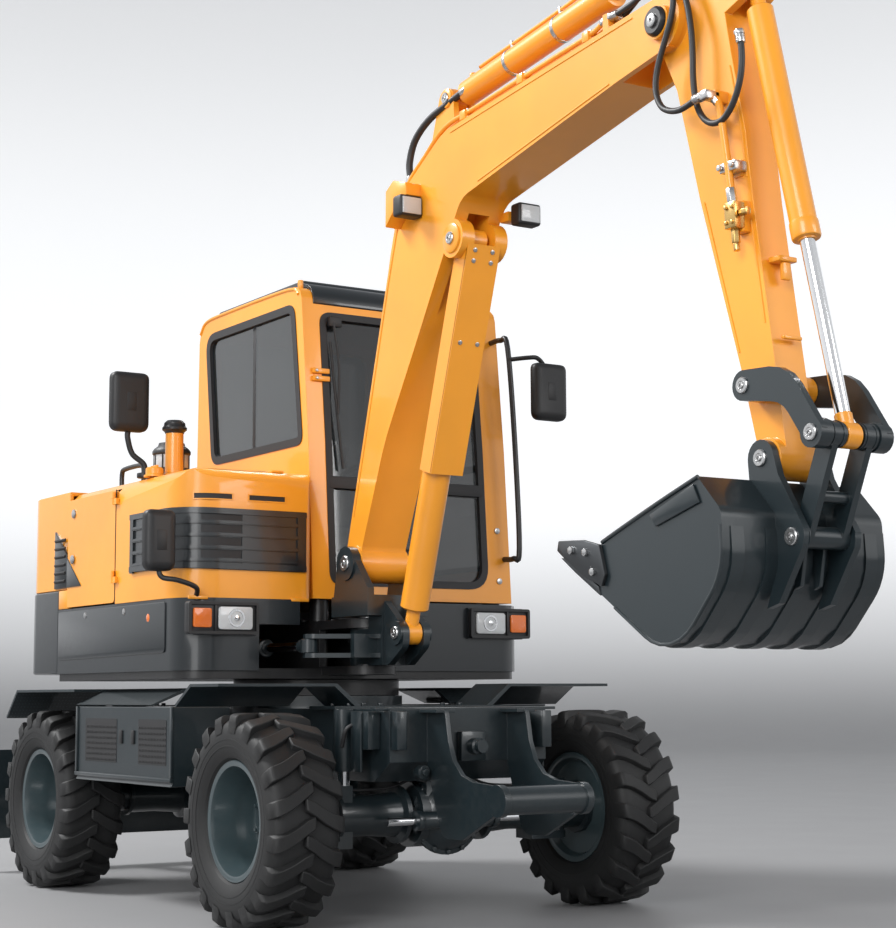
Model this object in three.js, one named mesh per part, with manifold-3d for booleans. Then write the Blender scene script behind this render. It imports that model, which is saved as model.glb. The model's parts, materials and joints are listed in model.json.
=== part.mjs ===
// A wheeled excavator with a swinging boom, built as separate solids in millimetres.
// Machine frame: forward is -Y, the operator's left is +X, up is +Z, the ground is z = 0,
// and the upper structure slews about x = 0, y = 0.
import * as THREE from "three";
import { mergeVertices } from "three/addons/utils/BufferGeometryUtils.js";
import Module from "manifold-3d";

const wasm = await Module();
wasm.setup();

// ---------------------------------------------------------------- driving dimensions
const SEAT_GAP = 0.3; // between faces that touch
const PIN_GAP = 0.6; // between an eye and its lug
const RUN_GAP = 6; // between pieces that move past each other

// wheels and axles
const wheelBase = 2100;
const tread = 1640;
const wheelSides = 24;
const standingRadius = 420;
const tyreWidth = 304;
const beadRadius = 222;
const rimDishDepth = 90;
const kingpinX = 590;
const axleBeamRadius = 75;

// chassis
const chassisHalfWidth = 380;
const chassisFront = -1300;
const chassisRear = 1440;
const chassisBottom = 560;
const chassisTop = 850;
const turretRadius = 400;
const turretHeight = 55;
const slewRingHeight = 74;
const fenderTop = 955;
const plateThickness = 12;
const fenderHalfWidth = 970;

// dozer blade at the rear
const bladeArmPivot = [1500, 520];
const bladeY = 1960;
const bladeBottom = 170;
const bladeHeight = 460;
const bladeHalfWidth = 955;

// upper structure
const deckThickness = 45;
const bodyHalfWidth = 885;
const bodyFront = -450;
const skirtTop = 1325;
const skirtWall = 12;
const hoodTop = 1895;
const tailRadius = 1650;
const counterweightFront = 1000;
const counterweightTop = 1420;
const coverSeam = 290;

// cab
const cabRight = -240;
const cabLeft = 830;
const cabBottom = 1335;
const cabTop = 2780;
const cabWall = 45;
const glassThickness = 6;
const doorRear = 430;
const doorFront = -330;

// boom swing
const boomX = -100;
const swingY = -660;
const lugRadius = 115;
const swingBarrelRadius = 85;
const swingArmX = -420;
const swingArmY = -700;

// pins of the boom, arm and bucket in the side plane [y, z]
const boomFoot = [-720, 1470];
const boomCylinderFoot = [-1000, 1165];
const boomCylinderHead = [-1508, 2746];
const armPivot = [-2860, 3235];
const armCylinderFoot = [-1390, 3372];
const armCylinderHead = [-2870, 3545];
const bucketCylinderFoot = [-3225, 3275];
const linkPin = [-3290, 1887];
const bucketPin = [-3330, 1650];
const elbowPin = [-3595, 1700];
const bucketLinkPin = [-3465, 1390];

// sections of the boom, arm and bucket
const boomHalfWidth = 110;
const boomForkHalf = 85;
const armHalfWidth = 65;
const linkPinRadius = 25;
const earInner = 96;
const earOuter = 122;
const sideLinkInner = 128;
const sideLinkOuter = 154;
const linkPlateInner = 60;
const linkPlateOuter = 85;
const bucketHalfWidth = 345;
const bucketWall = 18;

// ---------------------------------------------------------------- materials
const paint = (color, roughness, metalness = 0) =>
  new THREE.MeshStandardMaterial({ color, roughness, metalness });
const YELLOW = paint(0xf2a51c, 0.42);
const CHARCOAL = paint(0x24292c, 0.5);
const DARK_STEEL = paint(0x2b3338, 0.5, 0.2);
const BLACK_PLASTIC = paint(0x141516, 0.55);
const RIM_GREY = paint(0x4c6166, 0.4, 0.3);
const RUBBER = paint(0x1b1b1c, 0.85);
const CHROME = paint(0xd8dadc, 0.12, 1);
const GLASS = paint(0x2a3438, 0.08);
const FABRIC = paint(0x2d3032, 0.9);

// ---------------------------------------------------------------- solid helpers
// A closed geometry as a solid that can be joined and cut.
function solid(geometry) {
  const bare = geometry.index ? geometry.toNonIndexed() : geometry.clone();
  bare.deleteAttribute("normal");
  bare.deleteAttribute("uv");
  const merged = mergeVertices(bare, 1e-3);
  return new wasm.Manifold(
    new wasm.Mesh({
      numProp: 3,
      vertProperties: new Float32Array(merged.attributes.position.array),
      triVerts: new Uint32Array(merged.index.array),
    }),
  );
}

// A solid back as a geometry.
function geometryOf(body) {
  const mesh = body.getMesh();
  const geometry = new THREE.BufferGeometry();
  geometry.setAttribute("position", new THREE.BufferAttribute(mesh.vertProperties, 3));
  geometry.setIndex(new THREE.BufferAttribute(mesh.triVerts, 1));
  geometry.computeVertexNormals();
  return geometry;
}

const fuse = (...bodies) => bodies.reduce((joined, next) => joined.add(next));
const cut = (body, ...tools) => tools.reduce((left, tool) => left.subtract(tool), body);

// Corner points [u, v, radius] as a shape; a corner with a radius becomes an arc.
function outline(corners, arcSteps = 3) {
  const points = [];
  corners.forEach(([u, v, radius = 0], i) => {
    const corner = new THREE.Vector2(u, v);
    if (radius === 0) {
      points.push(corner);
      return;
    }
    const before = corners[(i + corners.length - 1) % corners.length];
    const after = corners[(i + 1) % corners.length];
    const toBefore = new THREE.Vector2(before[0] - u, before[1] - v).normalize();
    const toAfter = new THREE.Vector2(after[0] - u, after[1] - v).normalize();
    const half = Math.acos(THREE.MathUtils.clamp(toBefore.dot(toAfter), -1, 1)) / 2;
    const middle = toBefore.clone().add(toAfter).normalize();
    const centre = corner.clone().addScaledVector(middle, radius / Math.sin(half));
    const start = corner.clone().addScaledVector(toBefore, radius / Math.tan(half));
    const startAngle = Math.atan2(start.y - centre.y, start.x - centre.x);
    const turn = (Math.PI - 2 * half) * Math.sign(toBefore.cross(toAfter));
    for (let step = 0; step <= arcSteps; step++) {
      const angle = startAngle - (turn * step) / arcSteps;
      points.push(new THREE.Vector2(centre.x + radius * Math.cos(angle), centre.y + radius * Math.sin(angle)));
    }
  });
  return new THREE.Shape(points);
}

function extrusion(corners, depth, rows, offset) {
  const geometry = new THREE.ExtrudeGeometry(outline(corners), { depth, steps: 1, bevelEnabled: false });
  const [x, y, z] = rows;
  geometry.applyMatrix4(
    new THREE.Matrix4().set(...x, offset[0], ...y, offset[1], ...z, offset[2], 0, 0, 0, 1),
  );
  return solid(geometry);
}

// Outlines in [y, z], [x, z] and [x, y], pushed along the third axis.
const alongX = (corners, xa, xb) =>
  extrusion(corners, Math.abs(xb - xa), [[0, 0, 1], [1, 0, 0], [0, 1, 0]], [Math.min(xa, xb), 0, 0]);
const alongY = (corners, ya, yb) =>
  extrusion(corners, Math.abs(yb - ya), [[1, 0, 0], [0, 0, -1], [0, 1, 0]], [0, Math.max(ya, yb), 0]);
const alongZ = (corners, za, zb) =>
  extrusion(corners, Math.abs(zb - za), [[1, 0, 0], [0, 1, 0], [0, 0, 1]], [0, 0, Math.min(za, zb)]);

function box([xa, xb], [ya, yb], [za, zb]) {
  const geometry = new THREE.BoxGeometry(Math.abs(xb - xa), Math.abs(yb - ya), Math.abs(zb - za));
  geometry.translate((xa + xb) / 2, (ya + yb) / 2, (za + zb) / 2);
  return solid(geometry);
}

// A round bar between two points.
function bar(from, to, radius, sides = 12) {
  const start = new THREE.Vector3(...from);
  const end = new THREE.Vector3(...to);
  const geometry = new THREE.CylinderGeometry(radius, radius, start.distanceTo(end), sides);
  const along = end.clone().sub(start).normalize();
  geometry.applyQuaternion(new THREE.Quaternion().setFromUnitVectors(new THREE.Vector3(0, 1, 0), along));
  const middle = start.add(end).multiplyScalar(0.5);
  geometry.translate(middle.x, middle.y, middle.z);
  return solid(geometry);
}

// A disc across the boom's side plane at a pin [y, z].
const boss = ([y, z], radius, xa, xb, sides = 12) => bar([xa, y, z], [xb, y, z], radius, sides);

// A profile of [radius, x] points turned about the X axis.
function turned(profile, sides) {
  const area = profile.reduce((sum, [r, x], i) => {
    const [r2, x2] = profile[(i + 1) % profile.length];
    return sum + r * x2 - r2 * x;
  }, 0);
  const ordered = area > 0 ? profile : [...profile].reverse();
  const closed = ordered.every(([r]) => r > 0) ? [...ordered, ordered[0]] : ordered;
  const points = closed.map(([r, x]) => new THREE.Vector2(r, x));
  const geometry = new THREE.LatheGeometry(points, sides, Math.PI / sides);
  geometry.rotateZ(-Math.PI / 2);
  return solid(geometry);
}

// A bent tube through points.
function tube(points, radius, sides = 8, steps = 16) {
  const section = new THREE.Shape(
    Array.from({ length: sides }, (_, i) => {
      const angle = (2 * Math.PI * i) / sides;
      return new THREE.Vector2(radius * Math.cos(angle), radius * Math.sin(angle));
    }),
  );
  const path = new THREE.CatmullRomCurve3(points.map((p) => new THREE.Vector3(...p)), false, "centripetal");
  return solid(new THREE.ExtrudeGeometry(section, { steps, extrudePath: path, bevelEnabled: false }));
}

// ---------------------------------------------------------------- scene graph
const machine = new THREE.Group();

function add(name, body, material, parent = machine) {
  const mesh = new THREE.Mesh(geometryOf(body), material);
  mesh.name = name;
  parent.add(mesh);
  return mesh;
}

const sideName = (side) => (side > 0 ? "left" : "right");
const endName = (end) => (end < 0 ? "front" : "rear");

// ---------------------------------------------------------------- wheels
const tyreRadius = standingRadius / Math.cos(Math.PI / wheelSides);
const flangeX = 118;
const beadX = 108;

function tyreBody() {
  const half = tyreWidth / 2;
  const wall = [
    [beadRadius, beadX],
    [beadRadius + 20, beadX],
    [beadRadius + 42, half - 14],
    [beadRadius + 110, half],
    [tyreRadius - 34, half - 4],
    [tyreRadius, half - 40],
  ];
  const mirrored = [...wall].reverse().map(([r, x]) => [r, -x]);
  return turned([...wall, ...mirrored], wheelSides);
}

function rimBody(outward) {
  const seat = beadRadius - SEAT_GAP;
  const profile = [
    [0, -rimDishDepth],
    [seat - 10, -rimDishDepth],
    [seat - 10, -flangeX],
    [beadRadius + 18, -flangeX],
    [beadRadius + 18, -beadX - 0.6],
    [seat, -beadX - 0.6],
    [seat, beadX + 0.6],
    [beadRadius + 18, beadX + 0.6],
    [beadRadius + 18, flangeX],
    [seat - 10, flangeX],
    [seat - 10, 18 - rimDishDepth],
    [105, 18 - rimDishDepth],
    [92, 60 - rimDishDepth],
    [0, 66 - rimDishDepth],
  ];
  return turned(profile.map(([r, x]) => [r, outward * x]), wheelSides);
}

const axleY = (end) => (end * wheelBase) / 2;
for (const end of [-1, 1])
  for (const side of [-1, 1]) {
    const wheel = new THREE.Group();
    wheel.position.set((side * tread) / 2, axleY(end), standingRadius);
    machine.add(wheel);
    add(`tyre_${endName(end)}_${sideName(side)}`, tyreBody(), RUBBER, wheel);
    add(`rim_${endName(end)}_${sideName(side)}`, rimBody(side), RIM_GREY, wheel);
  }

// ---------------------------------------------------------------- axles and drive
const hubFace = tread / 2 - rimDishDepth - SEAT_GAP;
const hubRadius = 112;
const yokeGap = 95;
const yokeThickness = 30;
const lockX = 450;
const lockBottom = 600;
const pinionReach = 180;
const shaftZ = 430;

for (const side of [-1, 1]) {
  const y = axleY(-1);
  add(
    `steering_knuckle_${sideName(side)}`,
    fuse(
      bar([side * kingpinX, y, standingRadius - yokeGap + PIN_GAP], [side * kingpinX, y, standingRadius + yokeGap - PIN_GAP], 50),
      bar([side * kingpinX, y, standingRadius], [side * (hubFace - 18), y, standingRadius], 88),
      bar([side * (hubFace - 22), y, standingRadius], [side * hubFace, y, standingRadius], hubRadius),
      box([side * (kingpinX - 20), side * (kingpinX + 20)], [y, y + 170], [standingRadius - 60, standingRadius - 30]),
    ),
    DARK_STEEL,
  );
}

function axleCentre(y) {
  return fuse(
    bar([-480, y, standingRadius], [480, y, standingRadius], axleBeamRadius),
    bar([-150, y, standingRadius], [110, y, standingRadius], 135, 20),
    box([-120, 120], [y - 110, y + 110], [standingRadius, chassisBottom - SEAT_GAP]),
  );
}

function frontAxle() {
  const y = axleY(-1);
  let axle = fuse(axleCentre(y), bar([0, y, shaftZ], [0, y + pinionReach, shaftZ], 60));
  for (const side of [-1, 1]) {
    const plan = [
      [side * 440, y - 60],
      [side * 440, y + 60],
      [side * (kingpinX + 52), y + 60, 50],
      [side * (kingpinX + 52), y - 60, 50],
    ];
    axle = fuse(
      axle,
      alongZ(plan, standingRadius + yokeGap, standingRadius + yokeGap + yokeThickness),
      alongZ(plan, standingRadius - yokeGap - yokeThickness, standingRadius - yokeGap),
      box([side * 440, side * 500], [y - 60, y + 60], [standingRadius - 120, standingRadius + 120]),
      bar([side * lockX, y, standingRadius], [side * lockX, y, lockBottom - SEAT_GAP], 22),
    );
  }
  return axle;
}
add("front_axle", frontAxle(), DARK_STEEL);

function rearAxle() {
  const y = axleY(1);
  const gearboxFront = y - 420;
  return fuse(
    axleCentre(y),
    bar([-hubFace, y, standingRadius], [hubFace, y, standingRadius], axleBeamRadius),
    bar([-hubFace, y, standingRadius], [22 - hubFace, y, standingRadius], hubRadius),
    bar([hubFace - 22, y, standingRadius], [hubFace, y, standingRadius], hubRadius),
    box([-300, -220], [y - 80, y + 80], [standingRadius, chassisBottom - SEAT_GAP]),
    box([220, 300], [y - 80, y + 80], [standingRadius, chassisBottom - SEAT_GAP]),
    box([-160, 160], [gearboxFront, y - 90], [330, chassisBottom - SEAT_GAP]),
    bar([0, gearboxFront + 20, shaftZ], [0, axleY(-1) + pinionReach + SEAT_GAP, shaftZ], 32, 12),
  );
}
add("rear_axle", rearAxle(), DARK_STEEL);

// ---------------------------------------------------------------- chassis
const bladeLugX = 260;
const bladeCylinderFoot = [1510, 790];
const bladeCylinderEye = 30;
const bladeCylinderLug = bladeCylinderEye + PIN_GAP;

function chassisFrame() {
  const lug = ([y, z], xa, xb, radius) =>
    fuse(boss([y, z], radius, xa, xb), box([xa, xb], [chassisRear - 60, y], [z - radius * 0.8, z + radius * 0.8]));
  let frame = fuse(
    alongX(
      [
        [chassisFront, 640],
        [chassisFront, chassisTop],
        [chassisRear, chassisTop],
        [chassisRear, chassisBottom],
        [chassisFront + 120, chassisBottom],
      ],
      -chassisHalfWidth,
      chassisHalfWidth,
    ),
    bar([0, 0, chassisTop - 20], [0, 0, chassisTop + turretHeight], turretRadius, 32),
  );
  for (const side of [-1, 1]) {
    const lockBarrel = bar([side * lockX, axleY(-1), lockBottom], [side * lockX, axleY(-1), chassisTop], 40, 12);
    frame = fuse(
      frame,
      lockBarrel,
      box([side * 360, side * lockX], [axleY(-1) - 30, axleY(-1) + 30], [640, 820]),
      box([side * (bladeLugX - 60), side * (bladeLugX - 30)], [chassisRear - 60, chassisRear + 20], [480, 620]),
      lug(bladeArmPivot, side * (bladeLugX - 60), side * (bladeLugX - 30), 50),
      lug(bladeCylinderFoot, side * bladeCylinderLug, side * 56, 42),
    );
  }
  return frame;
}

const slewRingBottom = chassisTop + turretHeight + SEAT_GAP;
const deckBottom = slewRingBottom + slewRingHeight + PIN_GAP;
const deckTop = deckBottom + deckThickness;
add(
  "slew_ring",
  cut(
    bar([0, 0, slewRingBottom], [0, 0, slewRingBottom + slewRingHeight], turretRadius - 15, 32),
    bar([0, 0, slewRingBottom - 5], [0, 0, slewRingBottom + slewRingHeight + 5], turretRadius - 110, 32),
  ),
  DARK_STEEL,
);

// Front fenders stand on two cross plates over the chassis.
function frontFenders() {
  const bottom = chassisTop + SEAT_GAP;
  const front = axleY(-1) + 90;
  const rear = axleY(-1) + 350;
  let fenders = box([-440, 440], [front, rear - 40], [bottom, bottom + plateThickness]);
  for (const side of [-1, 1]) {
    const inner = 440;
    const shelf = [
      [side * (inner - 110), bottom],
      [side * inner, fenderTop - plateThickness],
      [side * fenderHalfWidth, fenderTop - plateThickness],
      [side * fenderHalfWidth, fenderTop],
      [side * (inner - 12), fenderTop],
      [side * (inner - 126), bottom + plateThickness],
    ];
    const flap = [
      [rear - 2, fenderTop - plateThickness],
      [rear + 140, bottom + 12],
      [rear + 150, bottom + 20],
      [rear + 4, fenderTop],
    ];
    fenders = fuse(
      fenders,
      alongY(shelf, front, rear),
      alongX(flap, side * inner, side * fenderHalfWidth),
    );
  }
  return fenders;
}
add("front_fenders", frontFenders(), DARK_STEEL);

const boxFront = -500;
const boxRear = 545;
const boxBottom = 530;
const boxTop = 862;

// Rear fenders reach forward as a walkway over the side boxes, with a sloping tread plate.
function rearFenders() {
  const bottom = chassisTop + SEAT_GAP;
  const top = fenderTop - 15;
  const under = top - plateThickness;
  const lip = [
    [boxFront + 90, boxTop + 3],
    [boxFront + 210, under],
    [1310, under],
    [1450, 800],
    [1462, 806],
    [1318, top],
    [boxFront + 206, top],
    [boxFront + 80, boxTop + 12],
  ];
  let fenders = box([-470, 470], [900, 1300], [bottom, bottom + plateThickness]);
  for (const side of [-1, 1]) {
    const walkway = alongX(lip, side * 470, side * 800);
    const rearPart = alongX([[boxRear + 15, under], [1310, under], [1450, 800], [1462, 806], [1318, top], [boxRear + 15, top]], side * 790, side * fenderHalfWidth);
    const slope = alongY(
      [
        [side * 790, under],
        [side * 948, boxTop + 3],
        [side * 958, boxTop + 8],
        [side * 800, top],
        [side * 790, top],
      ],
      boxFront + 210,
      boxRear + 15,
    );
    const riser = box([side * 458, side * 470.5], [900, 1300], [bottom, top]);
    fenders = fuse(fenders, walkway, rearPart, slope, riser);
  }
  return fenders;
}
add("rear_fenders", rearFenders(), DARK_STEEL);

function sideBox(side) {
  const chassisSide = side * (chassisHalfWidth + SEAT_GAP);
  return fuse(
    alongY(
      [
        [side * 690, boxBottom + 40],
        [side * 690, boxTop],
        [side * 955, boxTop],
        [side * 955, boxBottom + 14],
        [side * 962, boxBottom],
        [side * 760, boxBottom],
      ],
      boxFront,
      boxRear,
    ),
    box([chassisSide, side * 700], [-330, -250], [600, 800]),
    box([chassisSide, side * 700], [310, 390], [600, 800]),
  );
}
add("toolbox_right", sideBox(-1), DARK_STEEL);

// The left box carries two steps up to the cab.
function stepBox() {
  const step = (top, outer) => box([760, outer], [-360, 60], [top - 22, top]);
  const recess = box([800, 1000], [-380, 80], [700, 900]);
  return fuse(cut(sideBox(1), recess), step(590, 985), step(722, 940));
}
add("step_box_left", stepBox(), DARK_STEEL);

const bumperPlateX = 195;
const bumperTube = [-1800, 505];
const bumperTubeRadius = 55;

function frontBumper() {
  const back = chassisFront + 5;
  let bumper = boss(bumperTube, bumperTubeRadius, -bumperPlateX, bumperPlateX, 16);
  for (const side of [-1, 1]) {
    const plate = [
      [back, chassisTop],
      [back - 130, chassisTop],
      [back - 140, chassisTop - 20],
      [back - 190, 580, 190],
      [bumperTube[0], bumperTube[1] + bumperTubeRadius],
      [bumperTube[0] - 40, bumperTube[1]],
      [bumperTube[0] + 20, bumperTube[1] - bumperTubeRadius],
      [back - 260, 345, 60],
      [back - 110, 345, 60],
      [back, 640],
    ];
    bumper = fuse(
      bumper,
      alongX(plate, side * (bumperPlateX - 10), side * (bumperPlateX + 10)),
      box([side * (bumperPlateX - 45), side * (bumperPlateX + 45)], [back - 130, back], [chassisTop - 14, chassisTop]),
      boss(bumperTube, bumperTubeRadius + 8, side * (bumperPlateX - 14), side * (bumperPlateX + 14), 16),
    );
  }
  return bumper;
}
add("chassis_frame", fuse(chassisFrame(), frontBumper()), DARK_STEEL);

// ---------------------------------------------------------------- dozer blade
const bladeEye = [bladeY - 110, 470];
const bladeCylinderHead = bladeEye;

function dozerBlade() {
  const back = bladeY - 30;
  const moldboard = alongX(
    [
      [bladeY, bladeBottom],
      [bladeY + 40, bladeBottom],
      [bladeY - 8, bladeBottom + 120],
      [bladeY - 8, bladeBottom + bladeHeight - 120],
      [bladeY + 30, bladeBottom + bladeHeight],
      [bladeY + 4, bladeBottom + bladeHeight],
      [back, bladeBottom + bladeHeight - 130],
      [back, bladeBottom + 110],
    ],
    -bladeHalfWidth,
    bladeHalfWidth,
  );
  let blade = fuse(moldboard, box([-bladeLugX, bladeLugX], [back - 90, back + 5], [300, 380]));
  for (const side of [-1, 1]) {
    const inner = side * (bladeLugX - 30 + PIN_GAP);
    blade = fuse(
      blade,
      boss(bladeArmPivot, 50, inner, side * (bladeLugX + 40)),
      alongX(
        [
          [bladeArmPivot[0] - 10, bladeArmPivot[1] - 48],
          [bladeArmPivot[0] + 10, bladeArmPivot[1] + 48],
          [back + 5, 420],
          [back + 5, 290],
        ],
        inner,
        side * (bladeLugX + 40),
      ),
      alongX(
        [
          [bladeEye[0] - 42, bladeEye[1], 38],
          [bladeEye[0], bladeEye[1] + 48, 38],
          [back + 5, bladeEye[1] + 50],
          [back + 5, 320],
          [back - 80, 320],
        ],
        side * bladeCylinderLug,
        side * 56,
      ),
    );
  }
  return blade;
}
add("dozer_blade", dozerBlade(), DARK_STEEL);

// ---------------------------------------------------------------- hydraulic cylinders
// A barrel with its base eye and bore, and a rod with its head eye, along the line from foot to head.
// Both are built along +Z from the foot and then turned into place.
function hydraulicCylinder(name, foot, head, size, barrelMaterial = YELLOW) {
  const start = new THREE.Vector3(...foot);
  const end = new THREE.Vector3(...head);
  const length = start.distanceTo(end);
  const place = new THREE.Group();
  place.position.copy(start);
  place.quaternion.setFromUnitVectors(new THREE.Vector3(0, 0, 1), end.clone().sub(start).normalize());
  machine.add(place);
  const across = size.eyeAxis === "z" ? [0, 1, 0] : [1, 0, 0];
  const eye = (z, radius) => {
    const [ax, ay] = across.map((a) => a * size.eyeHalf);
    return bar([-ax, -ay, z], [ax, ay, z], radius);
  };
  const boreRadius = size.rodRadius + PIN_GAP;
  const port = size.port
    ? box([size.port[0] - 14, 8 - size.barrelRadius], [-14, 14], [size.port[1] - 30, size.port[1] - SEAT_GAP])
    : eye(0, size.eyeRadius);
  const barrel = cut(
    fuse(
      port,
      eye(0, size.eyeRadius),
      box([-size.eyeHalf * 0.9, size.eyeHalf * 0.9], [-size.eyeHalf * 0.9, size.eyeHalf * 0.9], [0, size.neck]),
      bar([0, 0, size.neck - 10], [0, 0, size.barrelEnd - 40], size.barrelRadius, 16),
      bar([0, 0, size.barrelEnd - 60], [0, 0, size.barrelEnd], size.barrelRadius + 4, 16),
    ),
    bar([0, 0, size.neck + 15], [0, 0, size.barrelEnd + 5], boreRadius, 12),
  );
  const rod = fuse(
    bar([0, 0, length - size.rodLength], [0, 0, length], size.rodRadius, 12),
    eye(length, size.eyeRadius),
    bar([0, 0, length - size.eyeRadius - 30], [0, 0, length], size.eyeHalf, 12),
  );
  add(`${name}_barrel`, barrel, barrelMaterial, place);
  add(`${name}_rod`, rod, CHROME, place);
}

const inBoomPlane = ([y, z]) => [boomX, y, z];

hydraulicCylinder("boom_cylinder", inBoomPlane(boomCylinderFoot), inBoomPlane(boomCylinderHead), {
  eyeHalf: 34, eyeRadius: 48, neck: 115, barrelRadius: 60, barrelEnd: 1050, rodRadius: 30, rodLength: 900,
});
hydraulicCylinder("arm_cylinder", inBoomPlane(armCylinderFoot), inBoomPlane(armCylinderHead), {
  eyeHalf: 30, eyeRadius: 44, neck: 85, barrelRadius: 54, barrelEnd: 1080, rodRadius: 28, rodLength: 850,
});
hydraulicCylinder("bucket_cylinder", inBoomPlane(bucketCylinderFoot), inBoomPlane(elbowPin), {
  eyeHalf: 30, eyeRadius: 42, neck: 100, barrelRadius: 45, barrelEnd: 945, rodRadius: 25, rodLength: 800, port: [-116, 203],
});
const swingCylinderZ = 1115;
hydraulicCylinder("swing_cylinder", [swingArmX, 450, swingCylinderZ], [swingArmX, swingArmY, swingCylinderZ], {
  eyeHalf: 30, eyeAxis: "z", eyeRadius: 36, neck: 55, barrelRadius: 38, barrelEnd: 760, rodRadius: 20, rodLength: 770,
}, DARK_STEEL);
hydraulicCylinder("blade_cylinder", [0, ...bladeCylinderFoot], [0, ...bladeCylinderHead], {
  eyeHalf: bladeCylinderEye, eyeRadius: 36, neck: 62, barrelRadius: 34, barrelEnd: 290, rodRadius: 18, rodLength: 250,
}, DARK_STEEL);


// ---------------------------------------------------------------- upper frame
const postX = (lateral) => boomX + lateral;
const skirtInner = bodyHalfWidth - skirtWall;
const noseRight = -330;
const noseLeft = 60;
const noseLug = [deckTop - 30, deckTop + 8];
const upperLug = [swingCylinderZ + 80, swingCylinderZ + 120];
const swingBarrel = [noseLug[1] + PIN_GAP, upperLug[0] - PIN_GAP];
const postBlock = [noseLug[1] + RUN_GAP, upperLug[0] - RUN_GAP];
const cabMountLeft = bodyHalfWidth - 125;
const cabMounts = [[-170, -330], [cabMountLeft, -330], [-170, 770], [cabMountLeft, 770]];

function upperFrame() {
  const edge = skirtInner - SEAT_GAP;
  const front = bodyFront + skirtWall + SEAT_GAP;
  const nose = (z0, z1, back) =>
    fuse(
      box([postX(-lugRadius), postX(lugRadius)], [swingY, back], [z0, z1]),
      bar([boomX, swingY, z0], [boomX, swingY, z1], lugRadius, 24),
    );
  let frame = fuse(
    alongZ(
      [
        [-edge, front, 138],
        [edge, front, 138],
        [edge, counterweightFront - SEAT_GAP],
        [-edge, counterweightFront - SEAT_GAP],
      ],
      deckBottom,
      deckTop,
    ),
    nose(...noseLug, -400),
    nose(...upperLug, -100),
  );
  for (const lateral of [-lugRadius, lugRadius - 25])
    frame = fuse(frame, box([postX(lateral), postX(lateral + 25)], [-420, 860], [deckTop - 5, upperLug[1]]));
  for (const [x, y] of cabMounts)
    frame = fuse(frame, bar([x, y, deckTop - 5], [x, y, cabBottom - SEAT_GAP], 42));
  return fuse(
    frame,
    bar([swingArmX, 450, deckTop - 5], [swingArmX, 450, swingCylinderZ - 30 - PIN_GAP], 45),
  );
}
add("upper_frame", upperFrame(), CHARCOAL);

const lampBoxTop = 1308;
// A skirt runs from the nose round the front corner to the counterweight, with its lamp housing.
function skirt(side) {
  const nose = side > 0 ? noseLeft : noseRight;
  const outer = side * bodyHalfWidth;
  const inner = side * skirtInner;
  const rear = counterweightFront - SEAT_GAP;
  const wall = alongZ(
    [
      [nose, bodyFront],
      [outer, bodyFront, 150],
      [outer, rear],
      [inner, rear],
      [inner, bodyFront + skirtWall, 138],
      [nose, bodyFront + skirtWall],
    ],
    deckBottom + 35,
    skirtTop,
  );
  return fuse(wall, box([side * 545, side * 850], [bodyFront - 14, bodyFront + 60], [1165, lampBoxTop]));
}
const swingPocket = box([swingArmX - 110, noseRight + 5], [bodyFront - 20, bodyFront + 40], [1000, 1215]);
add("skirt_right", cut(skirt(-1), swingPocket), CHARCOAL);
add("skirt_left", skirt(1), CHARCOAL);

// The tail in plan: straight sides that turn into the slewing radius.
function tailPlan(front, inset) {
  const half = bodyHalfWidth - inset;
  const radius = tailRadius - inset;
  const onArc = (x) => Math.sqrt(radius * radius - x * x);
  return [
    [half, front],
    [half, onArc(half), 150],
    [0.55 * half, onArc(0.55 * half), 400],
    [0.15 * half, onArc(0.15 * half)],
    [-0.15 * half, onArc(0.15 * half)],
    [-0.55 * half, onArc(0.55 * half), 400],
    [-half, onArc(half), 150],
    [-half, front],
  ];
}

const engineBayHalf = 640;
const engineBayFloor = 1065;
add(
  "counterweight",
  cut(
    alongZ(tailPlan(counterweightFront, 0), deckBottom + 35, counterweightTop),
    box([-engineBayHalf, engineBayHalf], [counterweightFront - 10, 1385], [engineBayFloor, counterweightTop + 50]),
  ),
  CHARCOAL,
);
add(
  "engine_block",
  box([80 - engineBayHalf, engineBayHalf - 80], [880, 1370], [engineBayFloor + SEAT_GAP, 1690]),
  DARK_STEEL,
);

const hoodFront = 885;
function engineHood() {
  const shape = (inset, front, bottom) => {
    const profile = [
      [front, bottom - 5],
      [front, hoodTop - inset],
      [tailRadius - 130 - inset, hoodTop - inset, 180],
      [tailRadius - inset, bottom - 5],
    ];
    return alongZ(tailPlan(front, 5 + inset), bottom, hoodTop).intersect(alongX(profile, -bodyHalfWidth, bodyHalfWidth));
  };
  const bottom = counterweightTop + SEAT_GAP;
  return cut(shape(0, hoodFront, bottom), shape(20, hoodFront - 20, bottom - 10));
}
add("engine_hood", engineHood(), YELLOW);

const hingeRadius = 9;
const hingeKnuckle = 28;
const nextKnuckle = (z) => z + hingeKnuckle + PIN_GAP;

// One knuckle of a hinge that stands up along +Z, and its leaf.
function hingeLeaf([x, y], spanX, spanY, z) {
  return fuse(bar([x, y, z], [x, y, z + hingeKnuckle], hingeRadius, 10), box(spanX, spanY, [z, z + hingeKnuckle]));
}

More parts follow.
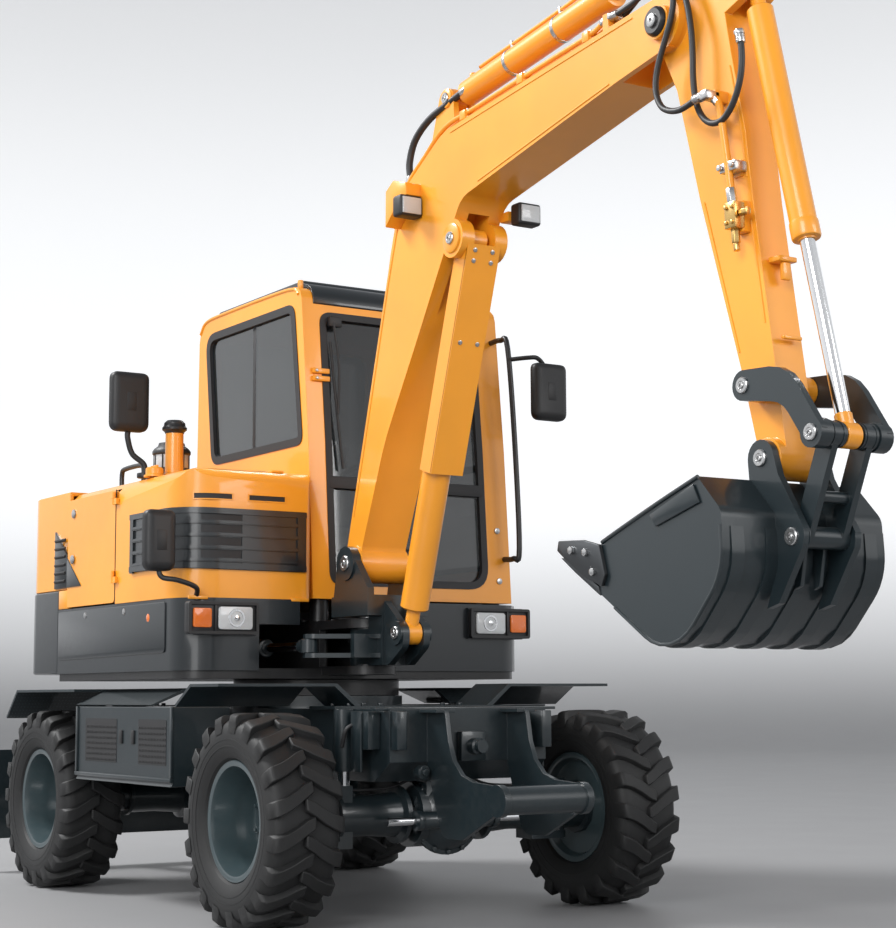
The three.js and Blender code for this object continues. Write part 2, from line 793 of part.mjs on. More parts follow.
const hoodRight = -892;
const hoodLeft = cabRight - 22;
const hoodBottom = skirtTop + SEAT_GAP;
const hoodFace = bodyFront + 10;
const sideDoorHinge = [hoodRight - 11, coverSeam];
const sideDoorHingeHeights = [1420, 1780];
function rightHood() {
  const side = [
    [hoodRight, hoodBottom],
    [hoodRight, hoodTop, 110],
    [hoodLeft, hoodTop],
    [hoodLeft, hoodBottom],
  ];
  const profile = [
    [hoodFace, hoodBottom],
    [hoodFace, hoodTop, 90],
    [hoodFront - RUN_GAP, hoodTop],
    [hoodFront - RUN_GAP, hoodTop - 40],
    [coverSeam - RUN_GAP, hoodTop - 40],
    [coverSeam - RUN_GAP, hoodBottom],
  ];
  const plan = [
    [hoodRight, hoodFace, 180],
    [hoodLeft, hoodFace, 40],
    [hoodLeft, hoodFront],
    [hoodRight, hoodFront],
  ];
  const body = alongY(side, hoodFace, hoodFront)
    .intersect(alongX(profile, hoodRight, hoodLeft))
    .intersect(alongZ(plan, hoodBottom, hoodTop));
  return fuse(
    body,
    bar([-600, 330, hoodTop - 20], [-600, 330, 2020], 40),
    bar([-600, 330, 1960], [-600, 330, 2050], 78, 20),
    bar([-600, 330, 2045], [-600, 330, 2085], 60),
    ...sideDoorHingeHeights.map((z) =>
      hingeLeaf(sideDoorHinge, [hoodRight - 15, hoodRight + 1], [coverSeam - 36, coverSeam], z),
    ),
  );
}
add("right_hood", rightHood(), YELLOW);

const sideDoorOutline = [
  [coverSeam + RUN_GAP, skirtTop + 7, 20],
  [coverSeam + RUN_GAP, hoodTop - 47, 20],
  [hoodFront - 12, hoodTop - 47, 20],
  [hoodFront - 12, skirtTop + 7, 20],
];
add(
  "engine_side_door",
  fuse(
    alongX(sideDoorOutline, hoodRight, hoodRight + 22),
    ...sideDoorHingeHeights.map((z) =>
      hingeLeaf(sideDoorHinge, [hoodRight - 15, hoodRight + 1], [coverSeam, coverSeam + 36], nextKnuckle(z)),
    ),
  ),
  YELLOW,
);

add(
  "exhaust_stack",
  fuse(
    bar([-700, 80, hoodTop + SEAT_GAP], [-700, 80, 2150], 36),
    bar([-700, 80, hoodTop + SEAT_GAP], [-700, 80, hoodTop + 60], 58),
    bar([-700, 80, 2100], [-700, 80, 2160], 44),
  ),
  YELLOW,
);
// ---------------------------------------------------------------- cab
// The front face leans back in two straight runs.
const cabFrontAt = (z) => (z < 2060 ? -405 + ((z - cabBottom) * 53) / 725 : -352 + ((z - 2060) * 77) / 720);
const cabRear = 830;

function cabProfile(inset) {
  return [
    [cabFrontAt(cabBottom) + inset, cabBottom + inset],
    [cabFrontAt(2060) + inset, 2060],
    [cabFrontAt(cabTop) + inset, cabTop - inset, 70 - inset * 0.6],
    [cabRear - 30 - inset, cabTop - inset, 110 - inset],
    [cabRear - inset, cabBottom + inset],
  ];
}

const windowEdge = 60;
const frontOpening = [[-150, 1400, windowEdge], [-150, 2660, windowEdge], [700, 2660, windowEdge], [700, 1400, 110]];
const rightOpening = [[-300, 2040, 50], [-212, 2700, 70], [720, 2700, 90], [640, 2040, 80]];
const rearOpening = [[-130, 2010, windowEdge], [-130, 2690, windowEdge], [720, 2690, windowEdge], [720, 2010, windowEdge]];
const quarterOpening = [[500, 2040, 50], [500, 2690, 50], [730, 2690, 50], [745, 2040, 50]];
const crossbar = [1845, 1887];

// The same corners moved in by a clearance, for a pane that fills its opening.
function insetCorners(corners, by) {
  const middle = corners.reduce(([u, v], c) => [u + c[0] / corners.length, v + c[1] / corners.length], [0, 0]);
  return corners.map(([u, v, r]) => [u - by * Math.sign(u - middle[0]), v - by * Math.sign(v - middle[1]), r]);
}

const doorHinge = [cabLeft + 12, doorRear + RUN_GAP];
const doorHingeHeights = [1520, 2000, 2500];
const doorOutline = [[doorFront, 1395, 40], [-205, 2690, 60], [doorRear, 2690, 60], [doorRear, 1395, 40]];

function cabFrame() {
  const shell = cut(
    alongX(cabProfile(0), cabRight, cabLeft),
    alongX(cabProfile(cabWall), cabRight + cabWall, cabLeft - cabWall),
  );
  const barFront = [
    [cabFrontAt(crossbar[0]), crossbar[0]],
    [cabFrontAt(crossbar[1]), crossbar[1]],
    [cabFrontAt(crossbar[1]) + cabWall, crossbar[1]],
    [cabFrontAt(crossbar[0]) + cabWall, crossbar[0]],
  ];
  return fuse(
    cut(
      shell,
      alongY(frontOpening, -500, -180),
      alongX(rightOpening, cabRight - 20, cabRight + 100),
      alongY(rearOpening, 700, 900),
      alongX(quarterOpening, cabLeft - 100, cabLeft + 20),
      alongX(insetCorners(doorOutline, -RUN_GAP), cabLeft - 100, cabLeft + 20),
    ),
    alongX(barFront, -160, 710),
    ...doorHingeHeights.map((z) => hingeLeaf(doorHinge, [cabLeft - 1, doorHinge[0] + 4], [doorHinge[1], doorHinge[1] + 45], z)),
  );
}
add("cab_frame", cabFrame(), YELLOW);

add(
  "cab_roof",
  alongX(
    [
      [-215, cabTop + SEAT_GAP],
      [-190, cabTop + 45, 25],
      [700, cabTop + 45, 35],
      [725, cabTop + SEAT_GAP],
    ],
    -185,
    775,
  ),
  CHARCOAL,
);

// A pane that lies in the leaning front wall.
function frontPane(z0, z1) {
  const depth = 16;
  const stations = [z0, ...(z0 < 2060 && z1 > 2060 ? [2060] : []), z1];
  const outer = stations.map((z) => [cabFrontAt(z) + depth, z]);
  const inner = [...stations].reverse().map((z) => [cabFrontAt(z) + depth + glassThickness, z]);
  return alongX([...outer, ...inner], -200, 750).intersect(alongY(insetCorners(frontOpening, SEAT_GAP), -500, -180));
}
add("windshield_upper", frontPane(crossbar[1] + SEAT_GAP, 2700), GLASS);
add("windshield_lower", frontPane(1380, crossbar[0] - SEAT_GAP), GLASS);
add("glass_right", alongX(insetCorners(rightOpening, SEAT_GAP), cabRight + 12, cabRight + 12 + glassThickness), GLASS);
add("glass_rear", alongY(insetCorners(rearOpening, SEAT_GAP), 792, 792 + glassThickness), GLASS);
add("glass_left_rear", alongX(insetCorners(quarterOpening, SEAT_GAP), cabLeft - 22, cabLeft - 22 + glassThickness), GLASS);

const doorOuter = cabLeft - 3;
const doorInner = doorOuter - 38;
const doorWindow = [[-262, 1500, 60], [-160, 2635, 60], [375, 2635, 60], [375, 1500, 60]];
add(
  "cab_door",
  fuse(
    cut(alongX(doorOutline, doorInner, doorOuter), alongX(doorWindow, doorInner - 20, doorOuter + 20)),
    ...doorHingeHeights.map((z) =>
      hingeLeaf(doorHinge, [doorOuter - 1, doorHinge[0] + 4], [doorHinge[1] - 70, doorHinge[1]], nextKnuckle(z)),
    ),
  ),
  YELLOW,
);
add("door_glass", alongX(insetCorners(doorWindow, SEAT_GAP), doorInner + 16, doorInner + 16 + glassThickness), GLASS);

const cabFloor = cabBottom + cabWall;
const matTop = cabFloor + 14;
const seatX = 315;
function controls() {
  const wheelHub = [seatX, -50, 1960];
  const ring = new THREE.TorusGeometry(180, 15, 6, 20);
  const tilt = new THREE.Vector3(0, 170, 570).normalize();
  ring.applyQuaternion(new THREE.Quaternion().setFromUnitVectors(new THREE.Vector3(0, 0, 1), tilt));
  ring.translate(...wheelHub);
  let body = fuse(
    box([seatX - 400, seatX + 400], [-320, 620], [cabFloor + SEAT_GAP, matTop]),
    solid(ring),
    bar([seatX - 180, -50, 1960], [seatX + 180, -50, 1960], 14, 8),
    bar([seatX, -220, matTop + 10], wheelHub, 34, 10),
    box([seatX - 90, seatX + 90], [-290, -160], [cabFloor + 5, cabFloor + 60]),
  );
  for (const side of [-1, 1])
    body = fuse(
      body,
      box([seatX + side * 240, seatX + side * 360], [40, 520], [cabFloor + 5, 1800]),
      box([seatX + side * 250, seatX + side * 360], [250, 560], [1795, 1850]),
      bar([seatX + side * 300, 110, 1790], [seatX + side * 300, 90, 1985], 16, 10),
    );
  return body;
}
add("control_console", controls(), BLACK_PLASTIC);
add(
  "operator_seat",
  fuse(
    box([seatX - 150, seatX + 150], [170, 520], [matTop + SEAT_GAP, 1610]),
    alongX([[60, 1600, 30], [60, 1705, 30], [560, 1725, 30], [560, 1600, 30]], seatX - 230, seatX + 230),
    alongX([[470, 1690, 30], [580, 2220, 40], [680, 2200, 40], [590, 1660, 30]], seatX - 220, seatX + 220),
    alongX([[590, 2210, 10], [615, 2380, 30], [680, 2370, 30], [660, 2200, 10]], seatX - 130, seatX + 130),
  ),
  FABRIC,
);

// ---------------------------------------------------------------- mirrors and rail
add(
  "mirror_right",
  fuse(
    tube([[-800, 190, hoodTop + SEAT_GAP], [-800, 190, 1960], [-850, 210, 2010], [-872, 230, 2080], [-872, 230, 2360]], 13, 8, 12),
    bar([-800, 190, hoodTop + SEAT_GAP], [-800, 190, hoodTop + 26], 34, 10),
    box([-965, -780], [170, 222], [2110, 2385]),
  ),
  BLACK_PLASTIC,
);
add(
  "mirror_front",
  fuse(
    tube(
      [
        [-825, bodyFront - 1, lampBoxTop + SEAT_GAP],
        [-825, bodyFront - 1, 1330],
        [-845, -475, 1365],
        [-930, -480, 1392],
        [-990, -450, 1405],
        [-1005, -420, 1450],
        [-1005, -420, 1640],
      ],
      11,
      8,
      16,
    ),
    box([-1075, -935], [-480, -428], [1430, 1690]),
  ),
  BLACK_PLASTIC,
);
function leftMirrorRail() {
  const railX = 800;
  const foot = (z) => cabFrontAt(z) - 1.8;
  return fuse(
    tube([[railX, foot(1545), 1545], [railX, -470, 1545], [railX + 12, -500, 1590], [railX + 6, -478, 2100], [railX - 5, -440, 2560], [railX - 5, -380, 2604], [railX - 5, foot(2604), 2604]], 13, 8, 24),
    tube([[railX - 2, -452, 2500], [860, -520, 2505], [905, -530, 2505], [940, -535, 2470], [955, -535, 2440]], 11, 8, 10),
    box([865, 1055], [-575, -525], [2205, 2480]),
  );
}
add("mirror_left", leftMirrorRail(), BLACK_PLASTIC);

// ---------------------------------------------------------------- swing post
const earPlate = [boomHalfWidth + 8, boomHalfWidth + 40];
const footLug = [34 + PIN_GAP, 66];
function swingPost() {
  const forward = swingY - lugRadius - 11;
  const front = forward - 115;
  const topBlock = [upperLug[1] + 8, upperLug[1] + 95];
  const arm = (u, v) => [boomX + u, swingY + v];
  const armPlan = [arm(-60, -235), arm(-60, -150), arm(-300, 8), [...arm(-372, -40), 45], arm(-320, -95)];
  let post = fuse(
    bar([boomX, swingY, swingBarrel[0]], [boomX, swingY, swingBarrel[1]], swingBarrelRadius, 24),
    box([postX(-75), postX(75)], [swingY, forward - 20], postBlock),
    box([postX(-78), postX(78)], [front, forward], [swingBarrel[0], topBlock[1]]),
    box([postX(-earPlate[1]), postX(earPlate[1])], [front, swingY + 70], topBlock),
    alongZ(armPlan, swingCylinderZ - 50, swingCylinderZ - 30 - PIN_GAP),
    alongZ(armPlan, swingCylinderZ + 30 + PIN_GAP, swingCylinderZ + 50),
    box([postX(-190), postX(-60)], [swingY - 200, swingY - 170], [swingCylinderZ - 50, swingCylinderZ + 50]),
  );
  const ear = [
    [swingY + 70, topBlock[0]],
    [swingY + 20, boomFoot[1]],
    [boomFoot[0] - 75, boomFoot[1] + 10],
    [front, topBlock[1] + 30],
    [front, topBlock[0]],
  ];
  const foot = [
    [front + 30, swingBarrel[0]],
    [front + 30, topBlock[1]],
    [front - 5, topBlock[1] - 30],
    [boomCylinderFoot[0] - 54, boomCylinderFoot[1] + 20, 40],
    [boomCylinderFoot[0] - 52, boomCylinderFoot[1] - 56, 45],
    [front - 30, swingBarrel[0]],
  ];
  for (const side of [-1, 1])
    post = fuse(
      post,
      alongX(ear, postX(side * earPlate[0]), postX(side * earPlate[1])),
      boss(boomFoot, 75, postX(side * earPlate[0]), postX(side * (earPlate[1] + 8))),
      alongX(foot, postX(side * footLug[0]), postX(side * footLug[1])),
      boss(boomCylinderFoot, 52, postX(side * footLug[0]), postX(side * (footLug[1] + 10))),
    );
  return post;
}
add("swing_post", swingPost(), DARK_STEEL);

// ---------------------------------------------------------------- boom
// The free hoses run from two fittings on the boom's top, past the arm pivot, to the arm's side.
const outerHose = [
  [-196, -2560, 3352], [-196, -2600, 3352], [-198, -2700, 3364], [-205, -2780, 3379], [-215, -2860, 3380],
  [-225, -2922, 3346], [-230, -2952, 3286], [-231, -2940, 3222], [-232, -2910, 3158], [-233, -2880, 3098],
  [-234, -2861, 3045], [-236, -2857, 2998], [-239, -2870, 2952], [-242, -2900, 2912], [-245, -2946, 2888],
  [-247, -2996, 2878], [-248, -3042, 2882], [-248, -3078, 2890], [-248, -3100, 2892], [-248, -3116, 2892],
];
const innerHose = [
  [-166, -2560, 3352], [-166, -2600, 3352], [-180, -2700, 3382], [-194, -2780, 3408], [-203, -2860, 3414],
  [-208, -2930, 3384], [-212, -2980, 3322], [-214, -3006, 3258], [-216, -3022, 3196], [-218, -3033, 3130],
  [-218, -3036, 3060], [-218, -3036, 2990], [-218, -3043, 2922], [-218, -3060, 2868], [-218, -3092, 2824],
  [-218, -3134, 2800], [-218, -3180, 2800], [-218, -3220, 2826], [-218, -3252, 2868], [-218, -3274, 2920],
  [-218, -3283, 2975], [-217, -3280, 3030], [-216, -3271.7, 3076.6],
];
const hoseRadius = 11;

function boom() {
  const side = [
    [boomFoot[0] + 76, boomFoot[1] + 30],
    [-1098, 3010, 240],
    [-1440, 3205, 260],
    [armPivot[0] + 10, armPivot[1] + 100],
    [armPivot[0] - 40, armPivot[1] - 95],
    [-2600, 3092, 600],
    [-1575, 2898, 120],
    [-1261, 2408, 900],
    [-975, 1975, 900],
    [boomFoot[0] - 60, boomFoot[1] + 55, 60],
    [boomFoot[0] - 78, boomFoot[1] - 10],
  ];
  // The rod leans into this slot when the boom is high.
  const away = new THREE.Vector2(boomCylinderFoot[0] - boomCylinderHead[0], boomCylinderFoot[1] - boomCylinderHead[1]);
  const along = away.normalize();
  const fromHead = (down, inward) => [
    boomCylinderHead[0] + along.x * down - along.y * inward,
    boomCylinderHead[1] + along.y * down + along.x * inward,
  ];
  const rodSlot = [fromHead(-110, -170), fromHead(-110, 95), fromHead(0, 155), fromHead(390, 105), fromHead(390, -170)];
  const half = boomHalfWidth;
  const across = (pin, radius, reach) => boss(pin, radius, postX(-reach), postX(reach), 20);
  let body = fuse(
    alongX(side, postX(-half), postX(half)),
    across(boomFoot, 82, earPlate[0] - PIN_GAP),
    across(armPivot, 100, half),
    across(boomCylinderHead, 80, half),
  );
  body = cut(
    body,
    across(armPivot, 290, boomForkHalf),
    alongX(rodSlot, postX(-50), postX(50)),
  );
  const foot = [
    [armCylinderFoot[0] + 170, 3060],
    [armCylinderFoot[0] + 48, armCylinderFoot[1] + 40, 45],
    [armCylinderFoot[0] - 46, armCylinderFoot[1] + 42, 45],
    [armCylinderFoot[0] - 62, 3190],
  ];
  for (const lateral of [-1, 1])
    body = fuse(
      body,
      alongX(foot, postX(lateral * (30 + PIN_GAP)), postX(lateral * 56)),
      boss(armPivot, 62, postX(lateral * (half - 5)), postX(lateral * (half + 22)), 20),
    );
  for (const [x, y, z] of [outerHose[0], innerHose[0]])
    body = fuse(body, box([x - 13, x + 13], [y + PIN_GAP, y + 34], [3290, z + 14]));
  return body;
}
add("boom", boom(), YELLOW);

// ---------------------------------------------------------------- arm
const boreRadius = linkPinRadius / Math.cos(Math.PI / 16) + PIN_GAP;
function arm() {
  const side = [
    [bucketPin[0] + 66, bucketPin[1]],
    [-3253, 1705],
    [-3184, 1964],
    [-2996, 2575],
    [-2886, 2989],
    [armPivot[0] + 97, armPivot[1]],
    [armCylinderHead[0] + 48, armCylinderHead[1], 30],
    [armCylinderHead[0] - 20, armCylinderHead[1] + 50, 30],
    [-3110, 3370],
    [-3170, 3050],
    [-3232, 2760],
    [-3262, 2517],
    [-3345, 1979],
    [bucketPin[0] - 66, bucketPin[1]],
  ];
  const across = (pin, radius, half) => boss(pin, radius, postX(-half), postX(half), 20);
  const bracket = [
    [-3050, 3420],
    [bucketCylinderFoot[0] + 20, bucketCylinderFoot[1] + 55, 40],
    [bucketCylinderFoot[0] - 44, bucketCylinderFoot[1] + 30, 44],
    [bucketCylinderFoot[0] - 30, bucketCylinderFoot[1] - 48, 40],
    [-3140, 3190],
  ];
  let body = cut(
    fuse(
      alongX(side, postX(-armHalfWidth), postX(armHalfWidth)),
      across(bucketPin, 68, earInner - PIN_GAP),
      across(armPivot, 98, boomForkHalf - PIN_GAP),
    ),
    boss(armCylinderHead, 150, postX(-32), postX(32), 20),
  );
  for (const lateral of [-1, 1])
    body = fuse(
      body,
      alongX(bracket, postX(lateral * (30 + PIN_GAP)), postX(lateral * armHalfWidth)),
    );
  const [hoseX, hoseY, hoseZ] = outerHose.at(-1);
  body = fuse(body, box([hoseX - 14, postX(3 - armHalfWidth)], [hoseY - 34, hoseY - PIN_GAP], [hoseZ - 14, hoseZ + 14]));
  return cut(
    fuse(body, across(linkPin, 50, sideLinkInner - PIN_GAP)),
    boss(linkPin, boreRadius, postX(-200), postX(200), 16),
  );
}
add("arm", arm(), YELLOW);

// ---------------------------------------------------------------- bucket linkage
function sideLinks() {
  const plate = [
    [linkPin[0], linkPin[1] + 50],
    [linkPin[0] - 205, linkPin[1] + 40, 160],
    [elbowPin[0] - 48, elbowPin[1] + 10],
    [elbowPin[0] + 46, elbowPin[1]],
    [linkPin[0] - 180, linkPin[1] - 75, 110],
    [linkPin[0], linkPin[1] - 50],
  ];
  let links = boss(linkPin, linkPinRadius, postX(-sideLinkOuter), postX(sideLinkOuter), 16);
  for (const side of [-1, 1]) {
    const span = [postX(side * sideLinkInner), postX(side * sideLinkOuter)];
    links = fuse(
      links,
      alongX(plate, ...span),
      boss(linkPin, 50, ...span, 20),
      boss(elbowPin, 48, postX(side * (100 + PIN_GAP)), span[1], 20),
    );
  }
  return links;
}
add("side_links", sideLinks(), DARK_STEEL);

function bucketLink() {
  const [ey, ez] = elbowPin;
  const [ly, lz] = bucketLinkPin;
  const run = new THREE.Vector2(ly - ey, lz - ez).normalize();
  const off = new THREE.Vector2(-run.y, run.x).multiplyScalar(34);
  const plate = [
    [ey + off.x, ez + off.y],
    [ey - off.x, ez - off.y],
    [ly - off.x, lz - off.y],
    [ly + off.x, lz + off.y],
  ];
  const brace = (t) => [ey + (ly - ey) * t, ez + (lz - ez) * t];
  let link = fuse(
    boss(bucketLinkPin, 36, postX(PIN_GAP - earInner), postX(earInner - PIN_GAP), 20),
    boss(brace(0.6), 20, postX(-linkPlateInner - 5), postX(linkPlateInner + 5), 12),
  );
  for (const side of [-1, 1])
    link = fuse(
      link,
      alongX(plate, postX(side * linkPlateInner), postX(side * linkPlateOuter)),
      boss(elbowPin, 42, postX(side * 37), postX(side * 100), 20),
    );
  return link;
}
add("bucket_link", bucketLink(), DARK_STEEL);

// ---------------------------------------------------------------- bucket
function bucket() {
  const shellOuter = [
    [-3283, 1584],
    [-3392, 1470, 60],
    [-3400, 1270, 200],
    [-3150, 1000, 190],
    [-2660, 1312],
    [-2640, 1345],
    [-2700, 1400, 20],
    [-2780, 1404],
  ];
  const hollow = [
    [-3268, 1572],
    [-3374, 1463, 44],
    [-3382, 1275, 185],
    [-3148, 1023, 172],
    [-2655, 1336],
    [-2560, 1500],
    [-2780, 1700],
    [-3200, 1700],
  ];
  const ear = [
    [bucketPin[0] + 60, bucketPin[1] - 5],
    [-3276, 1576],
    [-3384, 1464],
    [-3391, 1290],
    [-3345, 1170],
    [-3400, 1185],
    [bucketLinkPin[0] - 50, bucketLinkPin[1] - 30],
    [bucketLinkPin[0] - 56, bucketLinkPin[1] + 20],
    [bucketPin[0] - 80, bucketPin[1] - 60],
    [bucketPin[0] - 60, bucketPin[1] + 5],
  ];
  let body = cut(
    alongX(shellOuter, postX(-bucketHalfWidth), postX(bucketHalfWidth)),
    alongX(hollow, postX(bucketWall - bucketHalfWidth), postX(bucketHalfWidth - bucketWall)),
  );
  for (const side of [-1, 1])
    body = fuse(
      body,
      alongX(ear, postX(side * earInner), postX(side * earOuter)),
      boss(bucketPin, 60, postX(side * earInner), postX(side * earOuter), 20),
      boss(bucketLinkPin, 56, postX(side * earInner), postX(side * earOuter), 20),
    );
  return body;
}
add("bucket", bucket(), DARK_STEEL);

// ---------------------------------------------------------------- free hoses
add("arm_hose_outer", tube(outerHose, hoseRadius, 8, 54), RUBBER);
add("arm_hose_inner", tube(innerHose, hoseRadius, 8, 66), RUBBER);

// ---------------------------------------------------------------- origin
// The part's origin is the middle of its bounding box, on the ground.
const part = new THREE.Group();
part.add(machine);
const extent = new THREE.Box3().setFromObject(machine);
machine.position.set(-(extent.min.x + extent.max.x) / 2, -(extent.min.y + extent.max.y) / 2, -extent.min.z);

export default part;
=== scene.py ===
"""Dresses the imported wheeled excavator: finishes, fine shapes, small fittings, light and camera.

Positions are written in millimetres in the machine's own frame. Its slew axis is x = y = 0, the
ground is z = 0, forward is -Y and the operator's left is +X.
"""

from __future__ import annotations

import json
import logging
import math
from dataclasses import dataclass
from enum import Enum
from typing import Any, Callable, Iterable, Sequence

import bmesh
import bpy
from mathutils import Matrix, Vector

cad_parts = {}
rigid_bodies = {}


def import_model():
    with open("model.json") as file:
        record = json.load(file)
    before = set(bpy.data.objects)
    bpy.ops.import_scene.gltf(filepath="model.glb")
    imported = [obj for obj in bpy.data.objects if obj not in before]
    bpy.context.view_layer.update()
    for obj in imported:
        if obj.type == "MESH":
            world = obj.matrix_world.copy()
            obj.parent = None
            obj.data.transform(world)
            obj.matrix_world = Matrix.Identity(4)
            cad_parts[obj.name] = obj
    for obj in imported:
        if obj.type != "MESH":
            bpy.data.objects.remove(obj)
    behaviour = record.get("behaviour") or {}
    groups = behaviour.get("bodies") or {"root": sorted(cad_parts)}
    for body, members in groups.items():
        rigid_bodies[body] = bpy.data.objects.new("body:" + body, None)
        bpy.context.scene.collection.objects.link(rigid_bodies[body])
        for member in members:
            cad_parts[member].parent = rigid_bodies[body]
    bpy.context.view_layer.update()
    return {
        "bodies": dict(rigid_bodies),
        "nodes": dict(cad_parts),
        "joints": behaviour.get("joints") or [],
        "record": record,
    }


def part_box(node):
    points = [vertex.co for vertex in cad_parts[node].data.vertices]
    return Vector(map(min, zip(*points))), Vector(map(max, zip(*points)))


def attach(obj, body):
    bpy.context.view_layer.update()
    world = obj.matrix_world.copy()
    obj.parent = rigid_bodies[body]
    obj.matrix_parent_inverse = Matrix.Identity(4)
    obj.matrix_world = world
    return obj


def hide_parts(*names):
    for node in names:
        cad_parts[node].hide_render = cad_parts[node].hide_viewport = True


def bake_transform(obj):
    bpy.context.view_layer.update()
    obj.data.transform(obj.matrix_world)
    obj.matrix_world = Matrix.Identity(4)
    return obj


LOG = logging.getLogger("excavator")
MM = 0.001
Point = Sequence[float]
RIGHT, LEFT = -1, 1
SIDES = (RIGHT, LEFT)
FULL_TURN = 2 * math.pi

# Machine millimetres: the boom's middle plane and the axles, each with its name, y and outward way.
BOOM_X = -100.0
AXLE_Z = 420.0
AXLES = (("front", -1050, -1), ("rear", 1050, 1))

# An edge over SHARP_EDGE radians is bevelled; CAD points within MERGE_DISTANCE metres are one point,
# and CAD faces within FLAT_ANGLE of each other are one face.
SHARP_EDGE = 0.5
MERGE_DISTANCE = 0.00002
FLAT_ANGLE = math.radians(0.6)


class Axis(Enum):
    """A direction that a ring or a prism is laid out along."""

    X = 0
    Y = 1
    Z = 2


@dataclass(frozen=True)
class Site:
    """Where the machine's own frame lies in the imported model."""

    shift: Vector

    @classmethod
    def from_frame(cls) -> "Site":
        """Reads the slew axis from the slew ring and the ground from the tyres."""
        low, high = (Vector(corner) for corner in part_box("slew_ring"))
        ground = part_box("tyre_front_left")[0][2]
        middle = (low + high) / 2
        return cls(Vector((middle.x, middle.y, ground)))

    def at(self, point: Point) -> Vector:
        """Turns machine millimetres into model metres."""
        return Vector(point) * MM + self.shift


SITE: Site


# --------------------------------------------------------------------------- shader expressions
class Value:
    """A shader socket that can be used in arithmetic."""

    def __init__(self, shader: "Shader", socket: Any) -> None:
        """Keeps the socket and the shader it belongs to."""
        self.shader = shader
        self.socket = socket

    def _math(self, operation: str, first: Any, second: Any) -> "Value":
        """Adds one Math node."""
        return self.shader.node("ShaderNodeMath", {"operation": operation}, {0: first, 1: second})

    def __add__(self, other: Any) -> "Value":
        """self + other."""
        return self._math("ADD", self, other)

    __radd__ = __add__

    def __sub__(self, other: Any) -> "Value":
        """self - other."""
        return self._math("SUBTRACT", self, other)

    def __rsub__(self, other: Any) -> "Value":
        """other - self."""
        return self._math("SUBTRACT", other, self)

    def __mul__(self, other: Any) -> "Value":
        """self * other."""
        return self._math("MULTIPLY", self, other)

    def sine(self) -> "Value":
        """The sine of self."""
        return self._math("SINE", self, 0.0)

    def smooth(self, low: float, high: float) -> "Value":
        """Rises from 0 to 1 as self goes from low to high."""
        return self.shader.node(
            "ShaderNodeMapRange",
            {"interpolation_type": "SMOOTHSTEP"},
            {"Value": self, "From Min": low, "From Max": high},
        )


class Shader:
    """One material's node tree, built from expressions."""

    def __init__(self, name: str) -> None:
        """Starts an empty material with a Principled shader."""
        self.material = bpy.data.materials.new(name)
        self.material.use_nodes = True
        self.tree = self.material.node_tree
        self.principled = self.tree.nodes["Principled BSDF"]

    def node(self, kind: str, settings: dict[str, Any], inputs: dict[Any, Any], output: Any = None) -> Value:
        """Adds a node.

        Args:
            kind: The node's type.
            settings: Properties to set before the sockets are used.
            inputs: Values or links by socket name or index.
            output: The output wanted, by name or index; the first enabled one if left out.

        Returns:
            The chosen output.
        """
        added = self.tree.nodes.new(kind)
        for key, value in settings.items():
            if key == "stops":
                self._set_stops(added.color_ramp, value)
            else:
                setattr(added, key, value)
        for key, value in inputs.items():
            self._feed(self._socket(added.inputs, key), value)
        if output is None:
            chosen = next(socket for socket in added.outputs if socket.enabled)
        else:
            chosen = self._socket(added.outputs, output)
        return Value(self, chosen)

    @staticmethod
    def _socket(sockets: Any, key: Any) -> Any:
        """Finds an enabled socket by name, or any socket by index."""
        if isinstance(key, int):
            return sockets[key]
        return next(socket for socket in sockets if socket.name == key and socket.enabled)

    @staticmethod
    def _set_stops(ramp: Any, stops: Sequence[tuple[float, Sequence[float]]]) -> None:
        """Gives a colour ramp its stops."""
        while len(ramp.elements) < len(stops):
            ramp.elements.new(0.5)
        for element, (position, colour) in zip(ramp.elements, stops):
            element.position = position
            element.color = colour

    def _feed(self, socket: Any, value: Any) -> None:
        """Links or sets one input."""
        if isinstance(value, Value):
            self.tree.links.new(value.socket, socket)
        else:
            socket.default_value = value

    def set(self, **values: Any) -> None:
        """Feeds the Principled shader; underscores in names stand for spaces."""
        for name, value in values.items():
            self._feed(self.principled.inputs[name.replace("_", " ")], value)

    def place(self, scale: float = 1.0) -> Value:
        """Object coordinates, scaled."""
        coordinates = self.node("ShaderNodeTexCoord", {}, {}, "Object")
        if scale == 1.0:
            return coordinates
        return self.node(
            "ShaderNodeVectorMath", {"operation": "SCALE"}, {"Vector": coordinates, "Scale": scale}
        )

    def part(self, axis: Axis, vector: Value | None = None) -> Value:
        """One coordinate of a vector, by default of the object coordinates."""
        return self.node("ShaderNodeSeparateXYZ", {}, {"Vector": vector or self.place()}, axis.value)

    def noise(self, scale: float, detail: float = 3.0, rough: float = 0.5) -> Value:
        """Fractal noise between 0 and 1 over object coordinates."""
        return self.node(
            "ShaderNodeTexNoise",
            {},
            {"Vector": self.place(), "Scale": scale, "Detail": detail, "Roughness": rough},
            "Fac",
        )

    def cells(self, scale: float) -> Value:
        """Distance to the nearest cell centre."""
        return self.node(
            "ShaderNodeTexVoronoi", {}, {"Vector": self.place(), "Scale": scale}, "Distance"
        )

    def blend(self, factor: Any, first: Any, second: Any) -> Value:
        """A colour mixed from two."""
        return self.node(
            "ShaderNodeMix",
            {"data_type": "RGBA"},
            {"Factor": factor, "A": first, "B": second},
            "Result",
        )

    def bump(self, height: Any, distance: float, strength: float = 1.0) -> Value:
        """A normal raised by a height.

        Args:
            height: The height, between 0 and 1.
            distance: What a height of 1 stands for, in metres.
            strength: How much of it is used.

        Returns:
            The normal.
        """
        return self.node(
            "ShaderNodeBump", {}, {"Height": height, "Distance": distance, "Strength": strength}
        )


